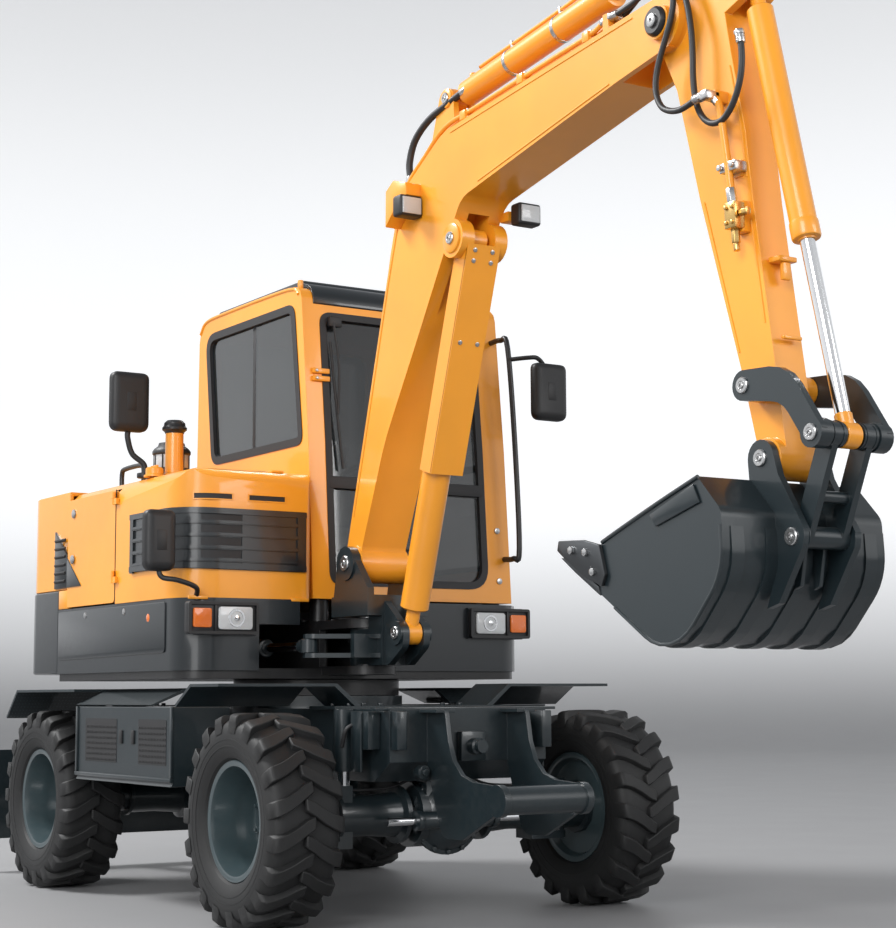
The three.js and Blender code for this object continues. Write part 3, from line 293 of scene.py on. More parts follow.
def rgba(red: float, green: float, blue: float) -> tuple[float, float, float, float]:
    """An opaque colour in linear light."""
    return (red, green, blue, 1.0)


# --------------------------------------------------------------------------- finishes
@dataclass(frozen=True)
class Surface:
    """What every finish has: its name, the CAD material it goes with and its colour in linear light."""

    name: str
    slot: str
    colour: tuple[float, float, float]

    def tone(self, factor: float = 1.0) -> tuple[float, float, float, float]:
        """The colour, made lighter or darker by a factor."""
        return rgba(*(channel * factor for channel in self.colour))


@dataclass(frozen=True)
class Paint(Surface):
    """Sprayed enamel: faint orange peel, cloudy tone, a film of dust low down."""

    roughness: float = 0.32
    coat: float = 0.5
    dust: float = 0.12

    def build(self) -> bpy.types.Material:
        """Makes the material."""
        shader = Shader(self.name)
        cloud = shader.noise(1.7, 4.0)
        fine = shader.noise(38.0, 4.0, 0.6)
        tone = shader.blend(cloud.smooth(0.3, 0.7), self.tone(0.86), self.tone())
        height = shader.part(Axis.Z)
        low = (1.0 - height.smooth(0.3, 1.5)) * fine.smooth(0.35, 0.75) * self.dust
        tone = shader.blend(low, tone, rgba(0.16, 0.145, 0.125))
        shader.set(
            Base_Color=tone,
            Roughness=(fine * 0.10 + (self.roughness - 0.05)) + low * 0.6,
            Coat_Weight=self.coat,
            Coat_Roughness=0.08,
            Normal=shader.bump(shader.noise(420.0, 2.0), 0.0004, 0.35),
        )
        return shader.material


@dataclass(frozen=True)
class Metal(Surface):
    """Bare or plated metal with fine scratches."""

    roughness: float

    def build(self) -> bpy.types.Material:
        """Makes the material."""
        shader = Shader(self.name)
        grain = shader.noise(160.0, 4.0, 0.7)
        shader.set(
            Base_Color=shader.blend(grain, self.tone(0.82), self.tone()),
            Metallic=1.0,
            Roughness=grain * 0.12 + self.roughness,
            Normal=shader.bump(grain, 0.0003, 0.3),
        )
        return shader.material


@dataclass(frozen=True)
class TyreRubber(Surface):
    """Tread rubber: fine pores and a grey film of dust in patches."""

    colour: tuple[float, float, float] = (0.0075, 0.0078, 0.0082)

    def build(self) -> bpy.types.Material:
        """Makes the material."""
        shader = Shader(self.name)
        smear = shader.noise(9.0, 5.0, 0.65)
        pores = shader.noise(300.0, 2.0)
        dust = smear.smooth(0.45, 0.8) * 0.25
        shader.set(
            Base_Color=shader.blend(dust, self.tone(), rgba(0.028, 0.027, 0.025)),
            Roughness=0.5 + smear * 0.22,
            Normal=shader.bump(pores * 0.6 + smear * 0.4, 0.0012, 0.5),
        )
        return shader.material


@dataclass(frozen=True)
class Rubber(Surface):
    """Hose and seal rubber."""

    colour: tuple[float, float, float] = (0.012, 0.012, 0.013)
    roughness: float = 0.5

    def build(self) -> bpy.types.Material:
        """Makes the material."""
        shader = Shader(self.name)
        grain = shader.noise(240.0, 3.0)
        shader.set(
            Base_Color=shader.blend(grain, self.tone(), self.tone(1.8)),
            Roughness=grain * 0.15 + self.roughness,
            Normal=shader.bump(grain, 0.0004, 0.4),
        )
        return shader.material


@dataclass(frozen=True)
class Plastic(Surface):
    """Moulded plastic with a leather-like grain."""

    roughness: float = 0.45
    grain: float = 0.35

    def build(self) -> bpy.types.Material:
        """Makes the material."""
        shader = Shader(self.name)
        cells = shader.cells(700.0)
        drift = shader.noise(5.0, 3.0)
        shader.set(
            Base_Color=shader.blend(drift, self.tone(0.8), self.tone()),
            Roughness=self.roughness + drift * 0.12,
            Normal=shader.bump(cells, 0.0004, self.grain),
        )
        return shader.material


@dataclass(frozen=True)
class Glass(Surface):
    """Tinted safety glass, thin enough to need no refraction."""

    alpha: float

    def build(self) -> bpy.types.Material:
        """Makes the material."""
        shader = Shader(self.name)
        haze = shader.noise(3.0, 2.0)
        shader.set(
            Base_Color=self.tone(),
            Roughness=haze * 0.03 + 0.02,
            Alpha=haze * 0.06 + self.alpha,
            Coat_Weight=0.6,
        )
        shader.principled.inputs["Specular IOR Level"].default_value = 0.8
        return shader.material


@dataclass(frozen=True)
class Lens(Surface):
    """A moulded lamp lens with ribs."""

    glow: float = 0.0

    def build(self) -> bpy.types.Material:
        """Makes the material."""
        shader = Shader(self.name)
        ribs = (shader.part(Axis.X) * 900.0).sine() * (shader.part(Axis.Z) * 900.0).sine()
        shader.set(
            Base_Color=shader.blend(ribs.smooth(-1.0, 1.0), self.tone(0.75), self.tone()),
            Roughness=0.12,
            Coat_Weight=0.8,
            Emission_Color=self.tone(),
            Normal=shader.bump(ribs, 0.0015, 0.5),
        )
        shader.principled.inputs["Emission Strength"].default_value = self.glow
        return shader.material


@dataclass(frozen=True)
class Weave(Surface):
    """Seat cloth: two crossing yarns, a lighter fleck and soft sheen."""

    def build(self) -> bpy.types.Material:
        """Makes the material."""
        shader = Shader(self.name)
        threads = 1500.0
        warp = (shader.part(Axis.X) * threads).sine()
        weft = ((shader.part(Axis.Y) + shader.part(Axis.Z)) * threads).sine()
        yarn = (warp * weft).smooth(-1.0, 1.0)
        fleck = shader.noise(90.0, 2.0).smooth(0.55, 0.7)
        tone = shader.blend(yarn, self.tone(0.6), self.tone())
        shader.set(
            Base_Color=shader.blend(fleck * 0.3, tone, self.tone(2.2)),
            Roughness=0.85,
            Normal=shader.bump(yarn, 0.0008, 0.5),
        )
        shader.principled.inputs["Sheen Weight"].default_value = 0.4
        return shader.material


@dataclass(frozen=True)
class TreadPlate(Surface):
    """Painted steel with raised anti-slip bars."""

    def build(self) -> bpy.types.Material:
        """Makes the material."""
        shader = Shader(self.name)
        pitch = 2.0 * math.pi / 0.034
        along = shader.part(Axis.X) * pitch
        across = shader.part(Axis.Y) * pitch
        bars = ((along + across).sine() * (along - across).sine()).smooth(0.35, 0.8)
        fine = shader.noise(60.0, 3.0)
        shader.set(
            Base_Color=shader.blend(bars, self.tone(0.8), self.tone(1.5)),
            Roughness=fine * 0.15 + 0.5,
            Coat_Weight=0.3,
            Normal=shader.bump(bars, 0.003, 0.35),
        )
        return shader.material


@dataclass(frozen=True)
class Floor:
    """The pale studio floor."""

    name: str = "studio_floor"

    def build(self) -> bpy.types.Material:
        """Makes the material."""
        shader = Shader(self.name)
        height = shader.part(Axis.Z)
        rise = height.smooth(0.05, 5.0) - height.smooth(8.0, 17.5) * 0.42
        shader.set(
            Base_Color=shader.blend(height.smooth(0.0, 2.2), rgba(0.27, 0.27, 0.275), rgba(0.5, 0.5, 0.505)),
            Roughness=shader.noise(2.0) * 0.1 + 0.55,
            Emission_Color=rgba(0.97, 0.985, 1.0),
            Emission_Strength=rise * 0.74,
        )
        return shader.material


class Finish(Enum):
    """Every finish on the machine."""

    YELLOW = Paint("machine_yellow_paint", "machine_yellow", (0.90, 0.345, 0.018), 0.34, 0.45, 0.06)
    CHARCOAL = Paint("charcoal_body_paint", "charcoal_paint", (0.0095, 0.0135, 0.0165), 0.30, 0.5, 0.03)
    CHASSIS = Paint("chassis_grey_paint", "chassis_grey", (0.0115, 0.0195, 0.0235), 0.34, 0.4, 0.035)
    RIM = Paint("rim_paint", "rim_grey", (0.040, 0.062, 0.069), 0.30, 0.5, 0.04)
    # Black paint on fittings, also used as painted shade in holes and slots.
    BLACK_PAINT_AND_SHADE = Paint("black_paint_and_painted_shade", "charcoal_paint", (0.010, 0.010, 0.011), 0.42, 0.2, 0.1)
    TREAD_PLATE = TreadPlate("anti_slip_plate", "chassis_grey", (0.0115, 0.0195, 0.0235))
    TYRE = TyreRubber("tyre_tread_rubber", "tyre_rubber")
    HOSE = Rubber("hose_cover_rubber", "hose_rubber", roughness=0.42)
    # Seal rubber, also used as painted shade in openings and slots.
    SEAL_AND_SHADE = Rubber("seal_rubber_and_painted_shade", "hose_rubber", roughness=0.55)
    CHROME = Metal("chrome_plate", "chrome_rod", (0.86, 0.87, 0.88), 0.05)
    STEEL = Metal("bright_steel", "chrome_rod", (0.58, 0.58, 0.58), 0.22)
    WORN_STEEL = Metal("worn_cutting_steel", "chassis_grey", (0.10, 0.105, 0.11), 0.34)
    BRASS = Metal("brass_fitting", "chrome_rod", (0.72, 0.47, 0.17), 0.22)
    PLASTIC = Plastic("black_moulded_plastic", "black_plastic", (0.014, 0.014, 0.015), 0.42)
    GREY_PLASTIC = Plastic("grey_trim_plastic", "black_plastic", (0.05, 0.05, 0.052), 0.5)
    MIRROR = Metal("mirror_silver", "chrome_rod", (0.9, 0.9, 0.9), 0.0)
    GLASS = Glass("cab_tinted_glass", "tinted_glass", (0.012, 0.016, 0.018), 0.58)
    DARK_GLASS = Glass("dark_tinted_glass", "tinted_glass", (0.012, 0.016, 0.018), 0.74)
    CLEAR_LENS = Lens("clear_lamp_lens", "tinted_glass", (0.62, 0.64, 0.65), 0.0)
    AMBER = Lens("amber_lamp_lens", "tinted_glass", (0.80, 0.17, 0.012), 0.05)
    RED = Lens("red_lamp_lens", "tinted_glass", (0.55, 0.015, 0.01), 0.1)
    FABRIC = Weave("seat_cloth", "seat_fabric", (0.030, 0.032, 0.036))
    CAST = Metal("cast_engine_iron", "cast_block", (0.14, 0.14, 0.145), 0.5)

    @property
    def material(self) -> bpy.types.Material:
        """The finish's material, made on first use."""
        made = bpy.data.materials.get(self.value.name)
        return made or self.value.build()


# --------------------------------------------------------------------------- mesh building
def frame_along(start: Vector, end: Vector) -> Matrix:
    """A matrix whose +Z runs from start to end and whose origin is start."""
    return Matrix.Translation(start) @ (end - start).to_track_quat("Z", "Y").to_matrix().to_4x4()


class Builder:
    """Collects solids, given in machine millimetres, into one mesh."""

    def __init__(self) -> None:
        """Starts empty."""
        self.mesh = bmesh.new()

    def _bevel(self, verts: Iterable[Any], width: float, segments: int) -> None:
        """Rounds the sharp edges of what was just added."""
        edges = {edge for vert in verts for edge in vert.link_edges}
        sharp = [edge for edge in edges if len(edge.link_faces) == 2 and edge.calc_face_angle() > SHARP_EDGE]
        bmesh.ops.bevel(
            self.mesh,
            geom=sharp,
            offset=width * MM,
            segments=segments,
            profile=0.5,
            affect="EDGES",
            clamp_overlap=True,
        )

    def box(self, low: Point, high: Point, bevel: float = 0.0, segments: int = 2) -> "Builder":
        """Adds a box between two corners."""
        first, last = SITE.at(low), SITE.at(high)
        size = Matrix.Diagonal((*(abs(b - a) for a, b in zip(first, last)), 1.0))
        matrix = Matrix.Translation((first + last) / 2) @ size
        made = bmesh.ops.create_cube(self.mesh, size=1.0, matrix=matrix)
        if bevel:
            self._bevel(made["verts"], bevel, segments)
        return self

    def rod(
        self, start: Point, end: Point, radius: float, sides: int = 24, bevel: float = 0.0
    ) -> "Builder":
        """Adds a cylinder between two points."""
        first, last = SITE.at(start), SITE.at(end)
        length = (last - first).length
        matrix = frame_along(first, last) @ Matrix.Translation((0, 0, length / 2))
        made = bmesh.ops.create_cone(
            self.mesh,
            cap_ends=True,
            segments=sides,
            radius1=radius * MM,
            radius2=radius * MM,
            depth=length,
            matrix=matrix,
        )
        if bevel:
            self._bevel(made["verts"], bevel, 2)
        return self

    def hexagon(self, start: Point, end: Point, radius: float) -> "Builder":
        """Adds a hexagon head between two points."""
        return self.rod(start, end, radius, 6, radius * 0.08)

    def turned(
        self,
        start: Point,
        end: Point,
        profile: Sequence[tuple[float, float]],
        sides: int = 48,
        closed: bool = False,
    ) -> "Builder":
        """Adds a turned shape.

        Args:
            start: The point at the profile's zero.
            end: A point that the axis runs towards.
            profile: (distance along the axis, radius) pairs in millimetres, from one end to the other.
            sides: Steps round the axis.
            closed: Whether the profile closes on itself round an open bore.

        Returns:
            This builder.
        """
        place = frame_along(SITE.at(start), SITE.at(end))
        rings = []
        for along, radius in profile:
            if radius < 1e-6:
                rings.append([self.mesh.verts.new(place @ Vector((0, 0, along * MM)))])
                continue
            ring = []
            for step in range(sides):
                angle = FULL_TURN * step / sides
                offset = Vector((math.cos(angle) * radius, math.sin(angle) * radius, along)) * MM
                ring.append(self.mesh.verts.new(place @ offset))
            rings.append(ring)
        if closed:
            rings.append(rings[0])
        else:
            if len(rings[0]) > 1:
                self.mesh.faces.new(list(reversed(rings[0])))
            if len(rings[-1]) > 1:
                self.mesh.faces.new(rings[-1])
        for lower, upper in zip(rings, rings[1:]):
            self._bridge(lower, upper, sides)
        return self

    def _bridge(self, lower: list[Any], upper: list[Any], sides: int) -> None:
        """Joins two rings, either of which may be a single point."""
        for step in range(sides):
            follow = (step + 1) % sides
            if len(lower) == 1 and len(upper) == 1:
                return
            if len(lower) == 1:
                self.mesh.faces.new((lower[0], upper[step], upper[follow]))
            elif len(upper) == 1:
                self.mesh.faces.new((lower[step], lower[follow], upper[0]))
            else:
                self.mesh.faces.new((lower[step], lower[follow], upper[follow], upper[step]))

    def prism(
        self, corners: Sequence[Point], axis: Axis, low: float, high: float, bevel: float = 0.0
    ) -> "Builder":
        """Adds an outline pushed along an axis.

        Args:
            corners: The outline in the two other axes, in their X, Y, Z order.
            axis: The axis it is pushed along.
            low: Where it starts.
            high: Where it ends.
            bevel: The rounding of its edges.

        Returns:
            This builder.
        """
        def spot(corner: Point, depth: float) -> Point:
            """One corner at one end."""
            values = list(corner)
            values.insert(axis.value, depth)
            return values

        ends = self.loft([[spot(corner, depth) for corner in corners] for depth in (low, high)])
        if bevel:
            self._bevel(ends[0] + ends[1], bevel, 2)
        return self

    def loft(self, sections: Sequence[Sequence[Point]], ring: bool = False) -> list[list[Any]]:
        """Adds a solid through sections that have the same number of points.

        Args:
            sections: Each section's points, in order round it.
            ring: Whether the last section joins the first; otherwise both ends are capped.

        Returns:
            The vertices of each section.
        """
        loops = [[self.mesh.verts.new(SITE.at(point)) for point in section] for section in sections]
        faces = [] if ring else [self.mesh.faces.new(loops[0]), self.mesh.faces.new(loops[-1][::-1])]
        for here, there in zip(loops, loops[1:] + loops[:1] if ring else loops[1:]):
            for index, vert in enumerate(here):
                follow = (index + 1) % len(here)
                faces.append(self.mesh.faces.new((vert, here[follow], there[follow], there[index])))
        bmesh.ops.recalc_face_normals(self.mesh, faces=faces)
        return loops

    def tube(self, points: Sequence[Point], radius: float, sides: int = 12, steps: int = 8) -> "Builder":
        """Adds a round tube along a smooth line through the points."""
        path = smooth_path([SITE.at(point) for point in points], steps)
        self.sweep(path, radius * MM, sides)
        return self

    def band(self, outer: Sequence[Point], inner: Sequence[Point], push: Point) -> "Builder":
        """Adds a flat ring between two loops, made solid by pushing it along a vector."""
        far_outer, far_inner = ([Vector(point) + Vector(push) for point in loop] for loop in (outer, inner))
        self.loft([outer, inner, far_inner, far_outer], ring=True)
        return self

    def wall(
        self, path: Sequence[Point], low: Sequence[float], high: Sequence[float], inner: float, outer: float
    ) -> "Builder":
        """Adds a standing sheet along a plan path.

        Args:
            path: Points in plan, run so that outwards is on their right.
            low: The lower edge's height at each point.
            high: The upper edge's height at each point.
            inner: How far the inner face stands off the path.
            outer: How far the outer face stands off the path.

        Returns:
            This builder.
        """
        spots = [Vector(point) for point in path]
        corners = [(inner, low), (outer, low), (outer, high), (inner, high)]
        sections = []
        for index, spot in enumerate(spots):
            run = (spots[min(index + 1, len(spots) - 1)] - spots[max(index - 1, 0)]).normalized()
            side = Vector((run.y, -run.x))
            sections.append([(*(spot + side * off), edge[index]) for off, edge in corners])
        self.loft(sections)
        return self

    def pin_end(self, centre: Point, out: int, radius: float, axis: Axis = Axis.X) -> "Builder":
        """Adds a pin's end plate with a hexagon socket screw, facing along +axis or -axis."""
        way = Vector((0, 0, 0))
        way[axis.value] = out
        centre = Vector(centre)
        self.turned(
            centre,
            centre + way,
            [(0, 0), (0, radius), (5, radius), (8, radius - 3), (8, radius * 0.56), (5.5, radius * 0.5),
             (5.5, radius * 0.42), (10, radius * 0.40), (11.5, radius * 0.34), (11.5, radius * 0.2),
             (4, radius * 0.18), (4, 0)],
            28,
        )
        return self

    def sweep(self, path: Sequence[Vector], radius: float, sides: int) -> None:
        """Sweeps a circle along a path without twist."""
        rings = []
        side = (path[1] - path[0]).orthogonal().normalized()
        for index, spot in enumerate(path):
            ahead = path[min(index + 1, len(path) - 1)] - path[max(index - 1, 0)]
            ahead.normalize()
            side = (side - ahead * side.dot(ahead)).normalized()
            other = ahead.cross(side)
            ring = []
            for step in range(sides):
                angle = FULL_TURN * step / sides
                ring.append(
                    self.mesh.verts.new(spot + (side * math.cos(angle) + other * math.sin(angle)) * radius)
                )
            rings.append(ring)
        self.mesh.faces.new(list(reversed(rings[0])))
        self.mesh.faces.new(rings[-1])
        for lower, upper in zip(rings, rings[1:]):
            self._bridge(lower, upper, sides)

    def add_mesh(self, source: bpy.types.Mesh, matrix: Matrix | None = None) -> "Builder":
        """Adds a copy of another mesh, moved by a matrix."""
        start = len(self.mesh.verts)
        self.mesh.from_mesh(source)
        self.mesh.verts.ensure_lookup_table()
        if matrix is not None:
            bmesh.ops.transform(self.mesh, matrix=matrix, verts=self.mesh.verts[start:])
        return self

    def finish(self, name: str, finish: Finish, body: str | None, angle: float = 35.0) -> bpy.types.Object:
        """Turns what was collected into a piece.

        Args:
            name: The piece's name.
            finish: Its finish.
            body: The body it rides on.
            angle: Edges flatter than this many degrees are shaded smooth.

        Returns:
            The piece.
        """
        mesh = bpy.data.meshes.new(name)
        self.mesh.to_mesh(mesh)
        self.mesh.free()
        return publish(mesh, name, finish, body, angle)


def publish(
    mesh: bpy.types.Mesh, name: str, finish: Finish, body: str | None, angle: float | None = 35.0
) -> bpy.types.Object:
    """Shades, colours and seats a finished mesh, and puts it on its body."""
    if angle is not None:
        mesh.shade_smooth()
        mesh.set_sharp_from_angle(angle=math.radians(angle))
    mesh.materials.clear()
    mesh.materials.append(finish.material)
    piece = bpy.data.objects.new(name, mesh)
    bpy.context.scene.collection.objects.link(piece)
    if body:
        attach(piece, body)
    LOG.info("%s: %d faces on %s", name, len(mesh.polygons), body)
    return piece


def smooth_path(points: Sequence[Vector], steps: int) -> list[Vector]:
    """A Catmull-Rom line through points, with a number of steps between each two."""
    padded = [points[0] * 2 - points[1], *points, points[-1] * 2 - points[-2]]
    path = []
    for first, second, third, fourth in zip(padded, padded[1:], padded[2:], padded[3:]):
        for step in range(steps):
            t = step / steps
            path.append(
                0.5
                * (
                    2 * second
                    + (third - first) * t
                    + (2 * first - 5 * second + 4 * third - fourth) * t**2
                    + (3 * second - first - 3 * third + fourth) * t**3
                )
            )
    path.append(points[-1])
    return path


def evaluated(source: bpy.types.Object) -> bpy.types.Mesh:
    """The plain mesh that an object's modifiers make; the object itself is removed."""
    bpy.context.view_layer.update()
    shown = source.evaluated_get(bpy.context.evaluated_depsgraph_get())
    mesh = bpy.data.meshes.new_from_object(shown)
    bpy.data.objects.remove(source)
    return mesh


def loose_object(mesh: bpy.types.Mesh) -> bpy.types.Object:
    """An object that only carries modifiers for a while."""
    holder = bpy.data.objects.new("holder", mesh)
    bpy.context.scene.collection.objects.link(holder)
    return holder


def clean_copy(node: str) -> bpy.types.Mesh:
    """A CAD node's mesh with its flat areas merged into single faces."""
    collected = bmesh.new()
    collected.from_mesh(bpy.data.objects[node].data)
    bmesh.ops.remove_doubles(collected, verts=collected.verts, dist=MERGE_DISTANCE)
    bmesh.ops.dissolve_limit(
        collected,
        angle_limit=FLAT_ANGLE,
        verts=collected.verts,
        edges=collected.edges,
        delimit={"NORMAL"},
    )
    mesh = bpy.data.meshes.new(node)
    collected.to_mesh(mesh)
    collected.free()
    return mesh


def rounded(node: str, finish: Finish, body: str, width: float) -> None:
    """Stands a copy of a CAD node, with its edges eased by a width in millimetres, in the node's place."""
    eased_over, smooth_under = math.radians(32.0), math.radians(38.0)
    holder = loose_object(clean_copy(node))
    ease = holder.modifiers.new("ease", "BEVEL")
    ease.width = width * MM
    ease.segments = 2
    ease.limit_method = "ANGLE"
    ease.angle_limit = eased_over
    ease.use_clamp_overlap = True
    mesh = evaluated(holder)
    mesh.shade_smooth()
    mesh.set_sharp_from_angle(angle=smooth_under)
    holder = loose_object(mesh)
    flat = holder.modifiers.new("flat", "WEIGHTED_NORMAL")
    flat.keep_sharp = True
    piece = publish(evaluated(holder), f"{node}_body", finish, body, None)
    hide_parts(node)


def repaint(node: str, finish: Finish) -> None:
    """Gives a CAD node that stays its finish."""
    mesh = bpy.data.objects[node].data
    mesh.materials.clear()
    mesh.materials.append(finish.material)


# --------------------------------------------------------------------------- repeated pieces
class Repeat:
    """A Geometry Nodes tree that repeats one small mesh with a step in place and in angle."""

    def __init__(self) -> None:
        """Builds the tree with named inputs."""
        self.tree = bpy.data.node_groups.new("repeat", "GeometryNodeTree")
        face = self.tree.interface
        face.new_socket("Geometry", in_out="INPUT", socket_type="NodeSocketGeometry")
        self.ids = {}
        for name, kind in (
            ("Count", "NodeSocketInt"),
            ("Step", "NodeSocketVector"),
            ("Turn", "NodeSocketVector"),
            ("Centre", "NodeSocketVector"),
            ("Finish", "NodeSocketMaterial"),
        ):
            self.ids[name] = face.new_socket(name, in_out="INPUT", socket_type=kind).identifier
        face.new_socket("Geometry", in_out="OUTPUT", socket_type="NodeSocketGeometry")
        self._wire()

    def _node(self, kind: str, **inputs: Any) -> Any:
        """Adds a node and feeds its inputs by name; underscores stand for spaces."""
        node = self.tree.nodes.new(kind)
        for name, value in inputs.items():
            socket = next(s for s in node.inputs if s.name == name.replace("_", " ") and s.enabled)
            if isinstance(value, bpy.types.NodeSocket):
                self.tree.links.new(value, socket)
            else:
                socket.default_value = value
        return node

    def _scaled(self, vector: Any, factor: Any) -> Any:
        """A vector times a number."""
        node = self.tree.nodes.new("ShaderNodeVectorMath")
        node.operation = "SCALE"
        self.tree.links.new(vector, node.inputs["Vector"])
        self.tree.links.new(factor, node.inputs["Scale"])
        return node.outputs["Vector"]

    def _wire(self) -> None:
        """Lays points, instances the piece on them, realizes and colours them."""
        given = self.tree.nodes.new("NodeGroupInput").outputs
        index = self._node("GeometryNodeInputIndex").outputs["Index"]
        line = self._node("GeometryNodeMeshLine", Count=given["Count"], Offset=(0.0, 0.0, 0.0))
        spread = self._node(
            "GeometryNodeSetPosition",
            Geometry=line.outputs["Mesh"],
            Position=given["Centre"],
            Offset=self._scaled(given["Step"], index),
        )
        turn = self._node("FunctionNodeEulerToRotation", Euler=self._scaled(given["Turn"], index))
        copies = self._node(
            "GeometryNodeInstanceOnPoints",
            Points=spread.outputs["Geometry"],
            Instance=given["Geometry"],
            Rotation=turn.outputs["Rotation"],
        )
        real = self._node("GeometryNodeRealizeInstances", Geometry=copies.outputs["Instances"])
        dressed = self._node(
            "GeometryNodeSetMaterial", Geometry=real.outputs["Geometry"], Material=given["Finish"]
        )
        out = self.tree.nodes.new("NodeGroupOutput")
        self.tree.links.new(dressed.outputs["Geometry"], out.inputs["Geometry"])

    def make(
        self,
        mesh: bpy.types.Mesh,
        count: int,
        finish: Finish,
        centre: Vector,
        step: Vector = Vector((0, 0, 0)),
        turn: Vector = Vector((0, 0, 0)),
    ) -> bpy.types.Mesh:
        """Repeats a mesh that is modelled round the origin.

        Args:
            mesh: The mesh that is repeated.
            count: How many copies.
            finish: Their finish.
            centre: Where the first copy's origin goes.
            step: How far each copy is from the last.
            turn: How far each copy is turned from the last, in radians about each axis.

        Returns:
            All the copies as one mesh.
        """
        holder = loose_object(mesh)
        modifier = holder.modifiers.new("repeat", "NODES")
        modifier.node_group = self.tree
        values = {
            "Count": count,
            "Step": tuple(step),
            "Turn": tuple(turn),
            "Centre": tuple(centre),
            "Finish": finish.material,
        }
        for name, value in values.items():
            modifier[self.ids[name]] = value
        return evaluated(holder)


REPEAT: Repeat


def small_mesh(build: Callable[[Builder], Any]) -> bpy.types.Mesh:
    """A mesh built round the origin for repeating, in millimetres from the origin."""
    builder = Builder()
    build(builder)
    bmesh.ops.translate(builder.mesh, vec=-SITE.shift, verts=builder.mesh.verts)
    mesh = bpy.data.meshes.new("small")
    builder.mesh.to_mesh(mesh)
    builder.mesh.free()
    return mesh


def repeated(
    name: str,
    small: bpy.types.Mesh,
    rows: Sequence[tuple[int, Point, Point]],
    finish: Finish,
    body: str,
    turn: Point = (0, 0, 0),
) -> bpy.types.Object:
    """Repeats a small mesh in rows and joins them into one piece.

    Args:
        name: The piece's name.
        small: The mesh round the origin.
        rows: (count, first place, step) in machine millimetres.
        finish: The finish.
        body: The body it rides on.
        turn: The turn from each copy to the next, in radians.

    Returns:
        The piece.
    """
    builder = Builder()
    for count, first, step in rows:
        row = REPEAT.make(
            small.copy(), count, finish, SITE.at(first), Vector(step) * MM, Vector(turn)
        )
        builder.add_mesh(row)
    return builder.finish(name, finish, body)


